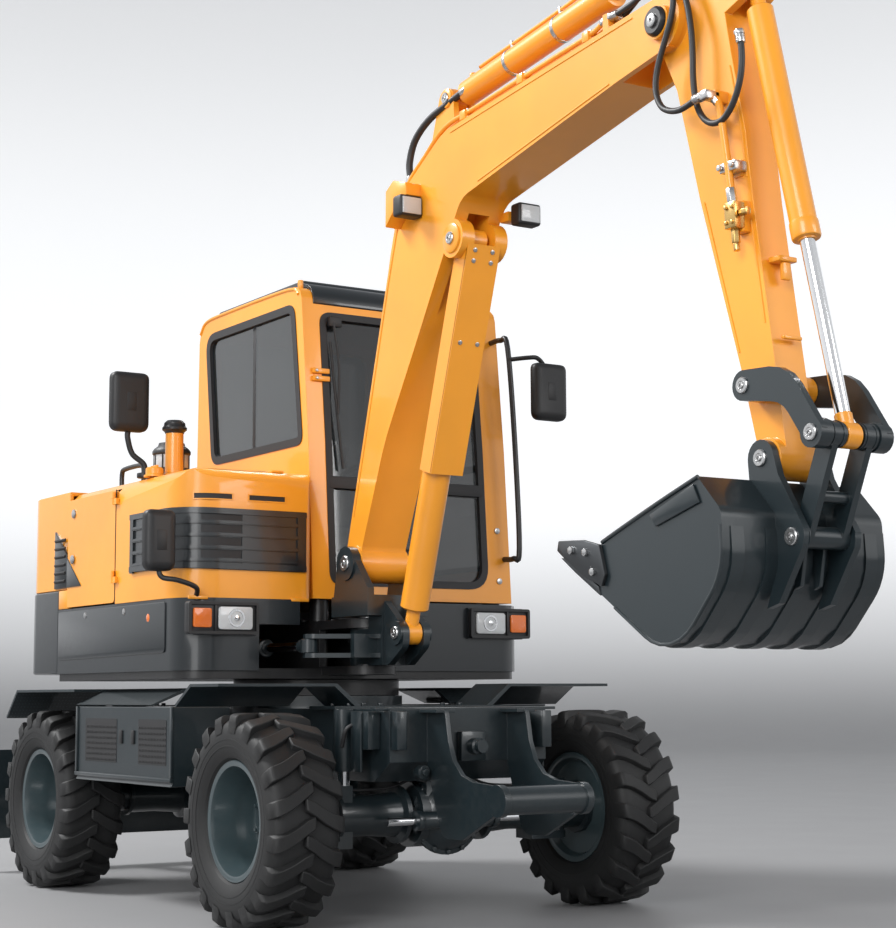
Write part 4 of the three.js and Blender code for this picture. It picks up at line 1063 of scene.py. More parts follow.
# --------------------------------------------------------------------------- wheels
@dataclass
class Wheel:
    """A lug tyre on a deep-dished rim."""

    end: str
    side: str
    radius: float = 420.0
    carcass: float = 396.0
    half_width: float = 152.0
    bead: float = 222.0
    dish: float = 90.0
    lugs: int = 19
    nuts: int = 10

    @property
    def body(self) -> str:
        """The body that the wheel is."""
        return f"wheel_{self.end}_{self.side}"

    @property
    def outward(self) -> int:
        """+1 on the operator's left."""
        return LEFT if self.side == "left" else RIGHT

    @property
    def centre(self) -> Vector:
        """The wheel's centre, in machine millimetres."""
        low, high = (Vector(corner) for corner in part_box(f"tyre_{self.end}_{self.side}"))
        return ((low + high) / 2 - SITE.shift) / MM

    def build(self) -> None:
        """Builds and dresses the tyre and the rim."""
        self._tyre()
        self._rim()

    def _tyre(self) -> None:
        """The carcass with its tread bars."""
        half = self.half_width
        wall = [
            (108.0, self.bead), (112.0, self.bead + 6), (116.0, self.bead + 16), (130.0, self.bead + 24),
            (133.0, self.bead + 30), (half - 8, self.bead + 52), (half - 2, self.bead + 80),
            (half, self.bead + 108), (half - 3, self.bead + 132), (half - 9, self.bead + 150),
            (half - 18, self.carcass - 14), (half - 34, self.carcass - 3), (half - 60, self.carcass),
        ]
        profile = [(-x, r) for x, r in wall] + [(x, r) for x, r in reversed(wall)]
        centre = self.centre
        builder = Builder()
        builder.turned(centre, centre + Vector((1, 0, 0)), profile, 96, closed=True)
        for row in (-1, 1):
            bar = small_mesh(lambda b: self._bar(b, row))
            turn = Vector((FULL_TURN / self.lugs, 0, 0))
            copies = REPEAT.make(bar, self.lugs, Finish.TYRE, SITE.at(centre), turn=turn)
            builder.add_mesh(copies)
        for ring in (70.0, 96.0):
            for sign in (-1, 1):
                self._rib(builder, centre, sign, self.bead + ring)
        piece = builder.finish(f"tyre_{self.end}_{self.side}_tread", Finish.TYRE, self.body, 30.0)
        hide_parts(f"tyre_{self.end}_{self.side}")

    def _rib(self, builder: Builder, centre: Vector, sign: int, radius: float) -> None:
        """A raised line round the sidewall."""
        reach = self.half_width - 3 if radius > self.bead + 80 else self.half_width - 6
        start = centre + Vector((sign * (reach - 4), 0, 0))
        profile = [(0, radius + 4), (7, radius + 2.5), (7, radius - 2.5), (0, radius - 4)]
        builder.turned(start, start + Vector((sign, 0, 0)), profile, 96, closed=True)

    def _bar(self, builder: Builder, row: int) -> None:
        """One tread bar: it runs in from the shoulder and bends towards the middle."""
        pitch = FULL_TURN / self.lugs
        stations = [
            (self.half_width + 1.0, 0.00, 0.40, self.carcass - 52, self.carcass - 34),
            (self.half_width - 1.0, 0.00, 0.42, self.carcass - 40, self.radius - 30),
            (self.half_width - 6.0, 0.01, 0.44, self.carcass - 24, self.radius - 10),
            (self.half_width - 22.0, 0.04, 0.47, self.carcass - 10, self.radius - 2.5),
            (96.0, 0.14, 0.55, self.carcass - 6, self.radius - 0.6),
            (56.0, 0.30, 0.70, self.carcass - 4, self.radius),
            (18.0, 0.50, 0.88, self.carcass - 4, self.radius),
            (-14.0, 0.64, 0.98, self.carcass - 4, self.radius),
            (-20.0, 0.68, 0.97, self.carcass - 4, self.radius - 4),
        ]
        phase = 0.0 if row > 0 else pitch / 2
        lean = 0.045
        sections = []
        for across, start, stop, low, high in stations:
            section = []
            for share, radius in ((start - lean, low), (start, high), (stop, high), (stop + lean, low)):
                angle = phase + self.outward * share * pitch
                section.append((row * across, -math.sin(angle) * radius, math.cos(angle) * radius))
            sections.append(section)
        ridge = [
            edge
            for here in builder.loft(sections)
            for vert in here[1:3]
            for edge in vert.link_edges
            if edge.calc_face_angle(0.0) > 0.6
        ]
        bmesh.ops.bevel(
            builder.mesh, geom=list(set(ridge)), offset=0.003, segments=1, affect="EDGES", clamp_overlap=True
        )

    def _rim(self) -> None:
        """The rim, its disc, hub, nuts and valve."""
        out = self.outward
        centre = self.centre
        seat = self.bead - 1.0
        dish = self.dish
        outer = [
            (-118, seat - 8), (-121, seat + 4), (-121, seat + 14), (-114, seat + 18), (-109, seat + 12),
            (-106, seat), (106, seat), (109, seat + 12), (114, seat + 18), (121, seat + 14),
            (121, seat + 4), (118, seat - 8), (100, seat - 14), (70, seat - 18), (40, seat - 26),
            (10, seat - 30), (-dish + 34, seat - 30), (-dish + 22, seat - 36), (-dish + 19, seat - 52),
            (-dish + 19, 128), (-dish + 24, 122), (-dish + 44, 118), (-dish + 52, 110), (-dish + 62, 76),
            (-dish + 66, 60), (-dish + 66, 0),
        ]
        builder = Builder()
        builder.turned(centre, centre + Vector((out, 0, 0)), [(-dish, 0), (-dish, seat - 22), *outer], 72)
        small = small_mesh(lambda b: self._nut(b, out))
        nuts = REPEAT.make(
            small, self.nuts, Finish.RIM, SITE.at(centre), turn=Vector((FULL_TURN / self.nuts, 0, 0))
        )
        builder.add_mesh(nuts)
        face = out * (-dish + 66)
        builder.turned(
            centre + Vector((face, 0, 0)), centre + Vector((face + out, 0, 0)),
            [(-1, 0), (-1, 52), (6, 52), (10, 48), (10, 26), (15, 22), (15, 0)], 36,
        )
        piece = builder.finish(f"rim_{self.end}_{self.side}_disc", Finish.RIM, self.body, 28.0)
        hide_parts(f"rim_{self.end}_{self.side}")
        valve = Builder()
        spot = centre + Vector((out * (-dish + 19), 0, 168))
        valve.rod(spot, spot + Vector((out * 34, 0, 6)), 5, 12, 1)
        valve.rod(spot + Vector((out * 34, 0, 6)), spot + Vector((out * 46, 0, 8)), 6.5, 12, 1)
        valve.finish(f"tyre_valve_{self.end}_{self.side}", Finish.BRASS, self.body)

    def _nut(self, builder: Builder, out: int) -> None:
        """One wheel nut with its stud and washer."""
        ring = 152.0
        face = -self.dish + 18
        builder.rod((out * face, 0, ring), (out * (face + 4), 0, ring), 17, 20, 0.8)
        builder.hexagon((out * (face + 3), 0, ring), (out * (face + 20), 0, ring), 14)
        builder.rod((out * (face + 18), 0, ring), (out * (face + 30), 0, ring), 8, 14, 1)


# --------------------------------------------------------------------------- hydraulic cylinders
@dataclass
class Cylinder:
    """A hydraulic cylinder: barrel with welded eye, gland and ports, and a chromed rod with its eye."""

    name: str
    foot: Point
    head: Point
    eye_half: float
    eye_radius: float
    neck: float
    barrel_radius: float
    barrel_end: float
    rod_radius: float
    barrel_body: str
    rod_body: str
    across: Point = (1.0, 0.0, 0.0)
    finish: Finish = Finish.YELLOW
    port_side: float = 0.0

    @property
    def axis(self) -> Vector:
        """The direction from foot to head."""
        return (Vector(self.head) - Vector(self.foot)).normalized()

    def along(self, distance: float, out: float = 0.0) -> Vector:
        """A point on the axis, or beside it on the port side."""
        side = self.axis.cross(Vector(self.across)).normalized()
        return Vector(self.foot) + self.axis * distance + side * out

    def _eye(self, builder: Builder, centre: Vector) -> None:
        """An eye: a round boss with a chamfer at each side."""
        across = Vector(self.across)
        half, radius = self.eye_half, self.eye_radius
        builder.turned(
            centre - across * half,
            centre,
            [(0, radius * 0.5), (0, radius - 3), (3, radius), (2 * half - 3, radius), (2 * half, radius - 3),
             (2 * half, radius * 0.5)],
            40,
        )

    def build(self) -> None:
        """Builds and dresses the barrel and the rod."""
        self._barrel()
        self._rod()

    def _barrel(self) -> None:
        """The barrel."""
        radius, start, end, bore = self.barrel_radius, self.neck, self.barrel_end, self.rod_radius
        builder = Builder()
        self._eye(builder, Vector(self.foot))
        width = self.eye_half * 0.86
        builder.turned(
            self.foot, self.head,
            [(0, width), (start - 14, width), (start - 8, radius - 6), (start - 2, radius),
             (end - 62, radius), (end - 60, radius + 2.5), (end - 52, radius + 3.5), (end - 8, radius + 3.5),
             (end - 2, radius + 1), (end, radius - 4), (end, bore + 6), (end + 5, bore + 5),
             (end + 5, bore + 0.4), (end - 30, bore + 0.4), (end - 30, 0)],
            48,
        )
        piece = builder.finish(f"{self.name}_barrel_tube", self.finish, self.barrel_body)
        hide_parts(f"{self.name}_barrel")
        if self.port_side:
            self._ports()

    def _ports(self) -> None:
        """The port bosses and the steel line that runs along the barrel."""
        side = self.port_side
        radius = self.barrel_radius
        near, far = self.neck + 40, self.barrel_end - 38
        middle = (near + far) / 2
        bosses = Builder()
        for spot in (near, far):
            low, high = (self.along(spot, side * (radius + off)) for off in (-6, 16))
            bosses.rod(low, high, 15, 20, 2)
        bosses.finish(f"{self.name}_ports", self.finish, self.barrel_body)
        run = [(far, 14), (far - 4, 27), (far - 30, 27), (middle, 23), (near + 90, 23), (near + 60, 23)]
        line = Builder()
        line.tube([self.along(spot, side * (radius + off)) for spot, off in run], 8, 12, 6)
        line.finish(f"{self.name}_line", self.finish, self.barrel_body)
        clamps = Builder()
        for spot in (middle - 180, middle + 150):
            clamps.rod(self.along(spot), self.along(spot + 18), radius + 2.2, 40, 1)
            low, high = (self.along(spot + 9, side * (radius + off)) for off in (-2, 36))
            clamps.rod(low, high, 9, 6, 1)
        clamps.finish(f"{self.name}_clamps", Finish.STEEL, self.barrel_body)

    def _rod(self) -> None:
        """The chromed rod and its eye."""
        length = (Vector(self.head) - Vector(self.foot)).length
        radius = self.rod_radius
        rod = Builder()
        inside = self.barrel_end - 25
        shown = length - inside - self.eye_radius - 24
        rod.turned(self.along(inside), self.head, [(0, 0), (0, radius), (shown, radius), (shown + 2, 0)], 48)
        chrome = rod.finish(f"{self.name}_rod_chrome", Finish.CHROME, self.rod_body)
        eye = Builder()
        self._eye(eye, Vector(self.head))
        root = length - self.eye_radius - 30
        neck, reach = self.eye_half - 1, self.eye_radius + 8
        eye.turned(
            self.along(root), self.head, [(0, 0), (0, radius + 1), (4, neck), (reach, neck), (reach, 0)], 40
        )
        eye.finish(f"{self.name}_rod_eye", self.finish, self.rod_body)
        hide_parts(f"{self.name}_rod")


# --------------------------------------------------------------------------- outlines
def rounded_outline(corners: Sequence[Point], inset: float = 0.0, steps: int = 6) -> list[Vector]:
    """Rounds the corners of an outline.

    Args:
        corners: (u, v, radius) corners, run round one way.
        inset: How far the outline is drawn in.
        steps: Steps in each corner.

    Returns:
        Points round the outline.
    """
    spots = [Vector(corner[:2]) for corner in corners]
    area = sum(a.x * b.y - b.x * a.y for a, b in zip(spots, spots[1:] + spots[:1]))
    turn = 1.0 if area > 0 else -1.0
    moved = []
    for index, spot in enumerate(spots):
        before = (spot - spots[index - 1]).normalized()
        after = (spots[(index + 1) % len(spots)] - spot).normalized()
        inner_a, inner_b = (Vector((-way.y, way.x)) * turn for way in (before, after))
        moved.append(spot + (inner_a + inner_b) * (inset / (1.0 + inner_a.dot(inner_b))))
    points = []
    for index, spot in enumerate(moved):
        radius = max(corners[index][2] - inset, 4.0)
        back = (moved[index - 1] - spot).normalized()
        ahead = (moved[(index + 1) % len(moved)] - spot).normalized()
        half = back.angle(ahead) / 2
        reach = radius / math.tan(half)
        start, end = spot + back * reach, spot + ahead * reach
        for step in range(steps + 1):
            t = step / steps
            points.append(start * (1 - t) ** 2 + spot * 2 * t * (1 - t) + end * t**2)
    return points


def cab_front(z: float) -> float:
    """Where the cab's front face stands at a height."""
    return -405 + (z - 1335) * 53 / 725 if z < 2060 else -352 + (z - 2060) * 77 / 720


# --------------------------------------------------------------------------- undercarriage
@dataclass
class Undercarriage:
    """Fittings on the chassis, the axles and the boxes."""

    bolt: float = 11.0

    def build(self) -> None:
        """Builds every fitting."""
        self._box_windows()
        self._driveline()
        self._axle_details()
        self._bolts()
        self._frame_details()
        self._blade_edge()

    def _box_windows(self) -> None:
        """Meshed windows in the outer faces of the side boxes, and their bottom rails; the windows are
        painted shade, a dark sheet with black discs for holes.
        """
        panels, rails, latches = Builder(), Builder(), Builder()
        # Painted shade: each window is a dark sheet that stands for the shade inside the box.
        for rear, front in ((447, 85), (-150, -440)):
            outline = [(front, 615, 10), (front, 808, 10), (rear, 808, 10), (rear, 615, 10)]
            panels.prism([tuple(p) for p in rounded_outline(outline)], Axis.X, -956.5, -952)
        rails.box((-968, -506, 548), (-950, 551, 566), 4)
        rails.box((-964, -506, 566), (-953, -488, 862), 3)
        rails.box((-964, 533, 566), (-953, 551, 862), 3)
        for y in (-95, 35):
            latches.box((-963, y - 16, 700), (-953, y + 16, 760), 4)
        panels.finish("toolbox_window_shade", Finish.SEAL_AND_SHADE, "chassis")
        rails.finish("toolbox_rails", Finish.CHASSIS, "chassis")
        latches.finish("toolbox_latches", Finish.PLASTIC, "chassis")
        # Painted shade: black discs stand for the mesh's holes, which are dark from the shade behind them.
        hole = small_mesh(lambda b: b.rod((0, 0, 0), (-3, 0, 0), 5, 8))
        rows = [
            (count, (-955.5, front, 628 + 24 * k), (0, 15.6, 0))
            for count, front in ((22, 100), (18, -428))
            for k in range(7)
        ]
        repeated("toolbox_mesh_hole_shade", hole, rows, Finish.BLACK_PAINT_AND_SHADE, "chassis")
        step_tread = small_mesh(lambda b: b.box((-4, -16, 0), (4, 16, 6), 2))
        rows = [
            (9, (790 + 26 * k, -320, z), (0, 42, 0))
            for z, across in ((590, 7), (722, 5))
            for k in range(across)
        ]
        repeated("step_treads", step_tread, rows, Finish.CHASSIS, "chassis")

    def _driveline(self) -> None:
        """The shaft between the axles with its joints, and the gearbox under the frame."""
        z = AXLE_Z + 10
        shaft = Builder()
        shaft.turned(
            (0, -868, z), (0, 868, z),
            [(0, 0), (0, 62), (14, 62), (16, 44), (40, 44), (60, 30), (90, 30), (96, 38), (1640, 38),
             (1646, 30), (1676, 30), (1696, 44), (1720, 44), (1722, 62), (1736, 62), (1736, 0)],
            28,
        )
        shaft.finish("drive_shaft", Finish.CHASSIS, "chassis")
        gearbox = Builder()
        gearbox.box((-150, 180, 455), (150, 520, 565), 16)
        gearbox.turned(
            (0, 540, z), (0, 160, z), [(0, 0), (0, 80), (30, 96), (350, 96), (380, 70), (380, 0)], 32
        )
        gearbox.turned(
            (150, 350, 500), (300, 350, 500), [(0, 0), (0, 70), (90, 70), (120, 54), (140, 54), (140, 0)],
            28,
        )
        gearbox.finish("gearbox", Finish.CHASSIS, "chassis")

    def _axle_details(self) -> None:
        """Housings, ribs, brake lines, the steering cylinder and the lock cylinders' rods."""
        housings, lines, chrome = Builder(), Builder(), Builder()
        z = AXLE_Z
        for _, y, face in AXLES:
            housings.turned(
                (0, y + face * 60, z), (0, y + face * 200, z),
                [(0, 0), (0, 168), (18, 168), (22, 150), (60, 128), (92, 84), (100, 40), (100, 0)], 40,
            )
            for side in SIDES:
                housings.turned(
                    (side * 190, y, z), (side * 560, y, z),
                    [(0, 0), (0, 118), (20, 118), (30, 92), (150, 82), (292, 84), (298, 96),
                     (314, 96), (314, 0)],
                    32,
                )
                lines.tube(
                    [(side * 120, y + face * 30, z + 155), (side * 240, y + face * 20, z + 112),
                     (side * 420, y + face * 14, z + 104), (side * 520, y + face * 10, z + 112)], 6, 10, 6,
                )
        front = AXLES[0][1]
        ahead, z = front - 142, AXLE_Z - 20
        housings.rod((-170, ahead, z), (170, ahead, z), 36, 32, 3)
        chrome.rod((-330, ahead, z), (330, ahead, z), 17, 24)
        for side in SIDES:
            x = side * 450
            chrome.rod((x, front, 520), (x, front, 606), 25, 28)
            cup = [(0, 0), (0, 46), (14, 46), (26, 32), (26, 0)]
            housings.turned((x, front, 496), (x, front, 600), cup, 28)
            run = [(400, -1090, 800), (425, -1120, 795), (470, -1110, 770), (478, -1086, 700)]
            lines.tube([(side * out, y, height) for out, y, height in run], 8, 12, 6)
            housings.rod((side * 170, ahead, z), (side * 196, ahead, z), 41, 32, 3)
            housings.box((side * 120, -1170, z - 20), (side * 150, -1110, z + 30), 4)
        housings.finish("axle_housings", Finish.CHASSIS, "chassis")
        lines.finish("axle_lines", Finish.HOSE, "chassis")
        chrome.finish("axle_chrome_rods", Finish.CHROME, "chassis")

    def _bolts(self) -> None:
        """Bolts round the slew ring and on the differential covers."""
        head = small_mesh(lambda b: b.hexagon((0, 355, 0), (0, 355, 16), 15))
        ring = REPEAT.make(
            head, 28, Finish.BLACK_PAINT_AND_SHADE, SITE.at((0, 0, 905)), turn=Vector((0, 0, FULL_TURN / 28))
        )
        Builder().add_mesh(ring).finish("slew_ring_bolts", Finish.BLACK_PAINT_AND_SHADE, "chassis")
        for name, y, face in AXLES:
            small = small_mesh(lambda b: b.hexagon((0, face * 76, 157), (0, face * 90, 157), self.bolt))
            made = REPEAT.make(
                small, 14, Finish.STEEL, SITE.at((0, y, AXLE_Z)), turn=Vector((0, FULL_TURN / 14, 0))
            )
            Builder().add_mesh(made).finish(f"axle_cover_bolts_{name}", Finish.CHASSIS, "chassis")
        plate = small_mesh(lambda b: b.hexagon((0, 0, 0), (0, 0, 11), self.bolt))
        places = ((2, 200, -920, 150), (2, 200, -780, 150), (3, 250, 960, 90), (2, 250, 1240, 90))
        rows = [
            (count, (side * x, y, 862), (side * step, 0, 0)) for count, x, y, step in places for side in SIDES
        ]
        repeated("fender_bolts", plate, rows, Finish.CHASSIS, "chassis")

    def _frame_details(self) -> None:
        """The cross bar, brackets, tow boss and end bosses on the front of the frame."""
        frame = Builder()
        frame.box((-440, -1290, 846), (440, -1255, 858), 3)
        for side in SIDES:
            frame.box((side * 382, -1230, 690), (side * 440, -1110, 842), 5)
            frame.box((side * 440, -1190, 600), (side * 452, -1110, 842), 4)
            frame.prism(
                [(side * 300, -1302), (side * 376, -1302), (side * 376, -1350), (side * 330, -1350)],
                Axis.Z, 690, 842, 4,
            )
        frame.box((-60, -1330, 640), (60, -1298, 760), 5)
        frame.turned(
            (0, -1298, 700), (0, -1420, 700), [(0, 0), (0, 34), (70, 34), (76, 26), (100, 26), (100, 0)], 24
        )
        frame.finish("frame_front_brackets", Finish.CHASSIS, "chassis")
        hooks = Builder()
        for side in SIDES:
            hooks.rod((side * 246, -1305, 600), (side * 246, -1345, 600), 28, 24, 3)
            hooks.hexagon((side * 246, -1345, 600), (side * 246, -1358, 600), 16)
        hooks.finish("frame_front_bosses", Finish.CHASSIS, "chassis")

    def _blade_edge(self) -> None:
        """The cutting edge under the dozer blade with its bolts."""
        edge = Builder()
        edge.prism([(1962, 172), (1998, 172), (1975, 262), (1950, 262)], Axis.X, -950, 950, 2)
        edge.finish("blade_cutting_edge", Finish.WORN_STEEL, "blade")
        head = small_mesh(lambda b: b.rod((0, -2, 0), (0, 8, 0), 13, 14, 2))
        repeated("blade_edge_bolts", head, [(9, (-840, 1976, 232), (210, 0, 0))], Finish.STEEL, "blade")
        ribs = Builder()
        for x in (-700, -450, 450, 700):
            ribs.prism([(1933, 300), (1850, 330), (1850, 400), (1933, 520)], Axis.X, x - 8, x + 8, 3)
        ribs.finish("blade_ribs", Finish.CHASSIS, "blade")


# --------------------------------------------------------------------------- upper body
@dataclass
class UpperBody:
    """Grille, lamps, vents, latches and other fittings on the slewing body."""

    face: float = -440.0
    side: float = -892.0
    corner: float = 180.0
    slat_rows: tuple[float, ...] = (1650.0, 1596.0, 1541.0, 1487.0)

    def build(self) -> None:
        """Builds every fitting."""
        self._grille()
        self._slots()
        self._fillers()
        self._side_vent()
        self._lamps()
        self._skirt_panels()
        self._stacks()
        self._latches()
        self._tail()
        self._deck()

    def _plan(self, start: float, end: float) -> list[tuple[float, float]]:
        """The hood's outside in plan, from a place on the front round the corner to a place on the side."""
        centre = (self.side + self.corner, self.face + self.corner)
        path = [(start, self.face), ((start + centre[0]) / 2, self.face), (centre[0], self.face)]
        for step in range(1, 13):
            angle = -math.pi / 2 - math.pi / 2 * step / 12
            path.append(
                (centre[0] + self.corner * math.cos(angle), centre[1] + self.corner * math.sin(angle))
            )
        return [*path, (self.side, (centre[1] + end) / 2), (self.side, end)]

    def _grille(self) -> None:
        """A dark surround that wraps the corner, its openings and its slats; the openings are dark sheets of
        painted shade.
        """
        path = self._plan(-300, 100)[::-1]
        count = len(path)
        low = [1446 + 10 * (1 - i / (count - 1)) for i in range(count)]
        high = [1712 + 6 * (1 - i / (count - 1)) for i in range(count)]
        frame = Builder()
        frame.wall(path, low, high, -3, 5)
        frame.wall(path, [z + 2 for z in low], [z + 26 for z in low], 4, 14)
        frame.wall(path, [z - 26 for z in high], [z - 2 for z in high], 4, 14)
        frame.wall([(-345, self.face), (-302, self.face)], [1450, 1450], [1708, 1708], 4, 13)
        frame.wall([(self.side, 96), (self.side, 62)], [1452, 1452], [1712, 1712], 4, 13)
        frame.wall([(-615, self.face), (-568, self.face)], [1460, 1460], [1700, 1700], 4, 9)
        frame.finish("grille_frame", Finish.CHARCOAL, "upper", 40)
        # Painted shade: dark sheets in the openings stand for the shade inside the hood.
        dark = Builder()
        for z in (1677, 1623, 1568, 1514):
            dark.wall([(-378, self.face), (-564, self.face)], [z - 17] * 2, [z + 17] * 2, 4.8, 6)
            self._strip(dark, -618, -800, z - 17, z + 17, 4.8, 6)
        dark.finish("grille_opening_shade", Finish.SEAL_AND_SHADE, "upper")
        slats = Builder()
        path = self._plan(-340, 66)[::-1]
        for z in self.slat_rows:
            lows, highs = [z - 8] * len(path), [z + 8] * len(path)
            slats.wall(path, lows, highs, 4, 13)
            slats.wall(path, [z - 4] * len(path), [z + 4] * len(path), 12, 17)
        slats.finish("grille_slats", Finish.CHARCOAL, "upper", 50)

    def _fillers(self) -> None:
        """The body-coloured sheets under the engine hood, ahead of the counterweight."""
        sheets = Builder()
        for side in SIDES:
            sheets.box((side * 862, 879, 1327), (side * 886, 999, 1418), 5)
        sheets.finish("hood_sills", Finish.YELLOW, "upper")

    def _slots(self) -> None:
        """Two long slots over the grille, with pressed lips; dark strips in the slots are painted shade."""
        dark, lips = Builder(), Builder()
        for left, right in ((-832, -662), (-579, -404)):
            # Painted shade: a dark strip stands for the shade inside each slot.
            self._strip(dark, right, left, 1753, 1775, 0.2, 1.2)
            self._strip(lips, right + 5, left - 5, 1775, 1780, 0.2, 4.5)
            self._strip(lips, right + 5, left - 5, 1748, 1753, 0.2, 3.0)
            for end in (right, left - 5):
                self._strip(lips, end + 5, end, 1753, 1775, 0.2, 3.5)
        lips.finish("hood_slot_lips", Finish.YELLOW, "upper")
        dark.finish("hood_slot_shade", Finish.SEAL_AND_SHADE, "upper")

    def _strip(
        self, builder: Builder, start: float, end: float, low: float, high: float, near: float, far: float
    ) -> None:
        """A band on the hood's front between two places, standing off it from near to far."""
        steps = 8
        corners = [(near, low), (far, low), (far, high), (near, high)]
        places = [start + (end - start) * step / steps for step in range(steps + 1)]
        builder.loft([[self._on_hood(x, z, off) for off, z in corners] for x in places])

    def _on_hood(self, x: float, z: float, off: float) -> tuple[float, float, float]:
        """A point that stands off the hood's front, which turns at its corner."""
        centre = (self.side + self.corner, self.face + self.corner)
        if x >= centre[0]:
            return (x, self.face - off, z)
        angle = (centre[0] - x) / self.corner
        reach = self.corner + off
        return (centre[0] - reach * math.sin(angle), centre[1] - reach * math.cos(angle), z)

    def _side_vent(self) -> None:
        """A dark three-cornered vent with louvres, partly on the door and partly on the hood."""
        def height(y: float) -> float:
            """The slanting front edge."""
            return 1420 + (y - 676) * 290 / 374

        door = Builder()
        door.prism([(692, 1428), (872, 1428), (872, height(872))], Axis.X, -898, -890, 4)
        door.finish("vent_on_door", Finish.CHARCOAL, "side_door")
        hood = Builder()
        hood.prism([(886, 1428), (1052, 1428), (1052, 1712), (886, height(886))], Axis.X, -891, -876, 4)
        hood.finish("vent_on_hood", Finish.CHARCOAL, "hood")
        louvre = small_mesh(lambda b: b.prism([(0, -9), (0, 9), (-9, 4), (-9, -2)], Axis.Y, -66, 66, 1))
        repeated("vent_louvres", louvre, [(6, (-890, 970, 1462), (0, 0, 40))], Finish.SEAL_AND_SHADE, "hood")
        other = small_mesh(lambda b: b.prism([(0, -9), (0, 9), (9, 4), (9, -2)], Axis.Y, -80, 80, 1))
        repeated("vent_louvres_left", other, [(7, (884, 1060, 1480), (0, 0, 44))], Finish.SEAL_AND_SHADE, "hood")

    def _lamps(self) -> None:
        """Lamp housings with a headlight and an indicator, and the side markers."""
        def pane(side: int, near: float, far: float, low: float, high: float, radius: float) -> list[Point]:
            """The corners of an upright rectangle on one side."""
            return [(side * x, z, radius) for x, z in ((near, low), (near, high), (far, high), (far, low))]

        for side, name in ((RIGHT, "right"), (LEFT, "left")):
            housing, lens, amber, bright = Builder(), Builder(), Builder(), Builder()
            outer = pane(side, 548, 880, 1168, 1306, 14)
            rim = rounded_outline(outer)
            inner = rounded_outline(outer, 13)
            housing.prism([(p.x, p.y) for p in rim], Axis.Y, -476, -440, 3)
            housing.band([(p.x, -477, p.y) for p in rim], [(p.x, -477, p.y) for p in inner], (0, -9, 0))
            housing.box((side * 748, -478, 1182), (side * 758, -486, 1292), 2)
            head = rounded_outline(pane(side, 578, 740, 1188, 1286, 16))
            lens.prism([(p.x, p.y) for p in head], Axis.Y, -486, -474, 4)
            x, z = side * 656, 1237
            ring = [(0, 40), (3, 38), (3, 30), (0, 28)]
            bright.turned((x, -485, z), (x, -500, z), ring, 36, closed=True)
            bright.rod((x, -484, z), (x, -491, z), 13, 20, 2)
            turn = rounded_outline(pane(side, 772, 858, 1196, 1278, 10))
            amber.prism([(p.x, p.y) for p in turn], Axis.Y, -485, -474, 3)
            y, z = -85, 1248
            marker = [(0, 0), (0, 23), (4, 22), (8, 14), (9, 0)]
            amber.turned((side * 885, y, z), (side * 896, y, z), marker, 28)
            collar = [(0, 28), (4, 28), (4, 22), (0, 22)]
            housing.turned((side * 884, y, z), (side * 892, y, z), collar, 28, closed=True)
            housing.finish(f"lamp_housing_{name}", Finish.PLASTIC, "upper")
            lens.finish(f"headlight_lens_{name}", Finish.CLEAR_LENS, "upper")
            bright.finish(f"headlight_bulb_{name}", Finish.CHROME, "upper")
            amber.finish(f"indicator_{name}", Finish.AMBER, "upper")

    def _skirt_panels(self) -> None:
        """Raised cover panels along both skirts, with their locks, and studs under the skirts."""
        panels, locks = Builder(), Builder()
        for side in SIDES:
            out = side * 885
            outline = [(-262, 1092, 24), (-262, 1312, 12), (985, 1312, 12), (985, 1080, 30)]
            panels.prism(
                [tuple(p) for p in rounded_outline(outline)], Axis.X, out - side * 3, out + side * 6, 3
            )
            for y in (180, 640):
                locks.turned(
                    (out + side * 5, y, 1286), (out + side * 20, y, 1286),
                    [(0, 0), (0, 15), (4, 14), (5, 0)], 24,
                )
        panels.finish("skirt_cover_panels", Finish.CHARCOAL, "upper")
        locks.finish("skirt_cover_locks", Finish.STEEL, "upper")
        stud = small_mesh(lambda b: b.rod((0, 0, 2), (0, 0, -14), 8, 12, 2))
        rows = [(2, (side * 620, y, 1012), (side * 60, 0, 0)) for side in SIDES for y in (-380, 0, 420, 800)]
        repeated("skirt_bottom_studs", stud, rows, Finish.BLACK_PAINT_AND_SHADE, "upper")

    def _stacks(self) -> None:
        """The exhaust pipe with its cap, the clear dust bowl and the filler cap."""
        pipe, cap, bowl, lid, filler = (Builder() for _ in range(5))
        x, y, top = -700, 80, 2200
        wall = [(0, 0), (0, 56), (8, 58), (14, 56), (20, 42), (210, 41), (210, 0)]
        pipe.turned((x, y, 1896), (x, y, top), wall, 40)
        piece = pipe.finish("exhaust_pipe", Finish.YELLOW, "upper")
        wall = [
            (0, 0), (0, 43), (8, 46), (16, 56), (26, 57), (34, 50), (48, 48), (60, 36), (60, 30), (30, 28),
            (30, 0),
        ]
        cap.turned((x, y, 2098), (x, y, top), wall, 40)
        cap.finish("exhaust_cap", Finish.BLACK_PAINT_AND_SHADE, "upper")
        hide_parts("exhaust_stack")
        x, y, top = -600, 330, 2100
        bowl.turned((x, y, 1962), (x, y, top), [(0, 80), (4, 82), (70, 82), (74, 80)], 48)
        lid.turned((x, y, 1944), (x, y, top), [(0, 0), (0, 60), (6, 86), (20, 88), (24, 82), (24, 0)], 48)
        wall = [(0, 0), (0, 84), (6, 90), (18, 90), (30, 82), (44, 64), (58, 60), (61, 40), (61, 0)]
        lid.turned((x, y, 2030), (x, y, top), wall, 48)
        for step in range(10):
            angle = FULL_TURN * step / 10
            east, north = x + 83 * math.cos(angle), y + 83 * math.sin(angle)
            lid.rod((east, north, 1966), (east, north, 2034), 4, 8)
        bowl.finish("dust_bowl", Finish.CLEAR_LENS, "upper")
        lid.finish("dust_bowl_lid", Finish.PLASTIC, "upper")
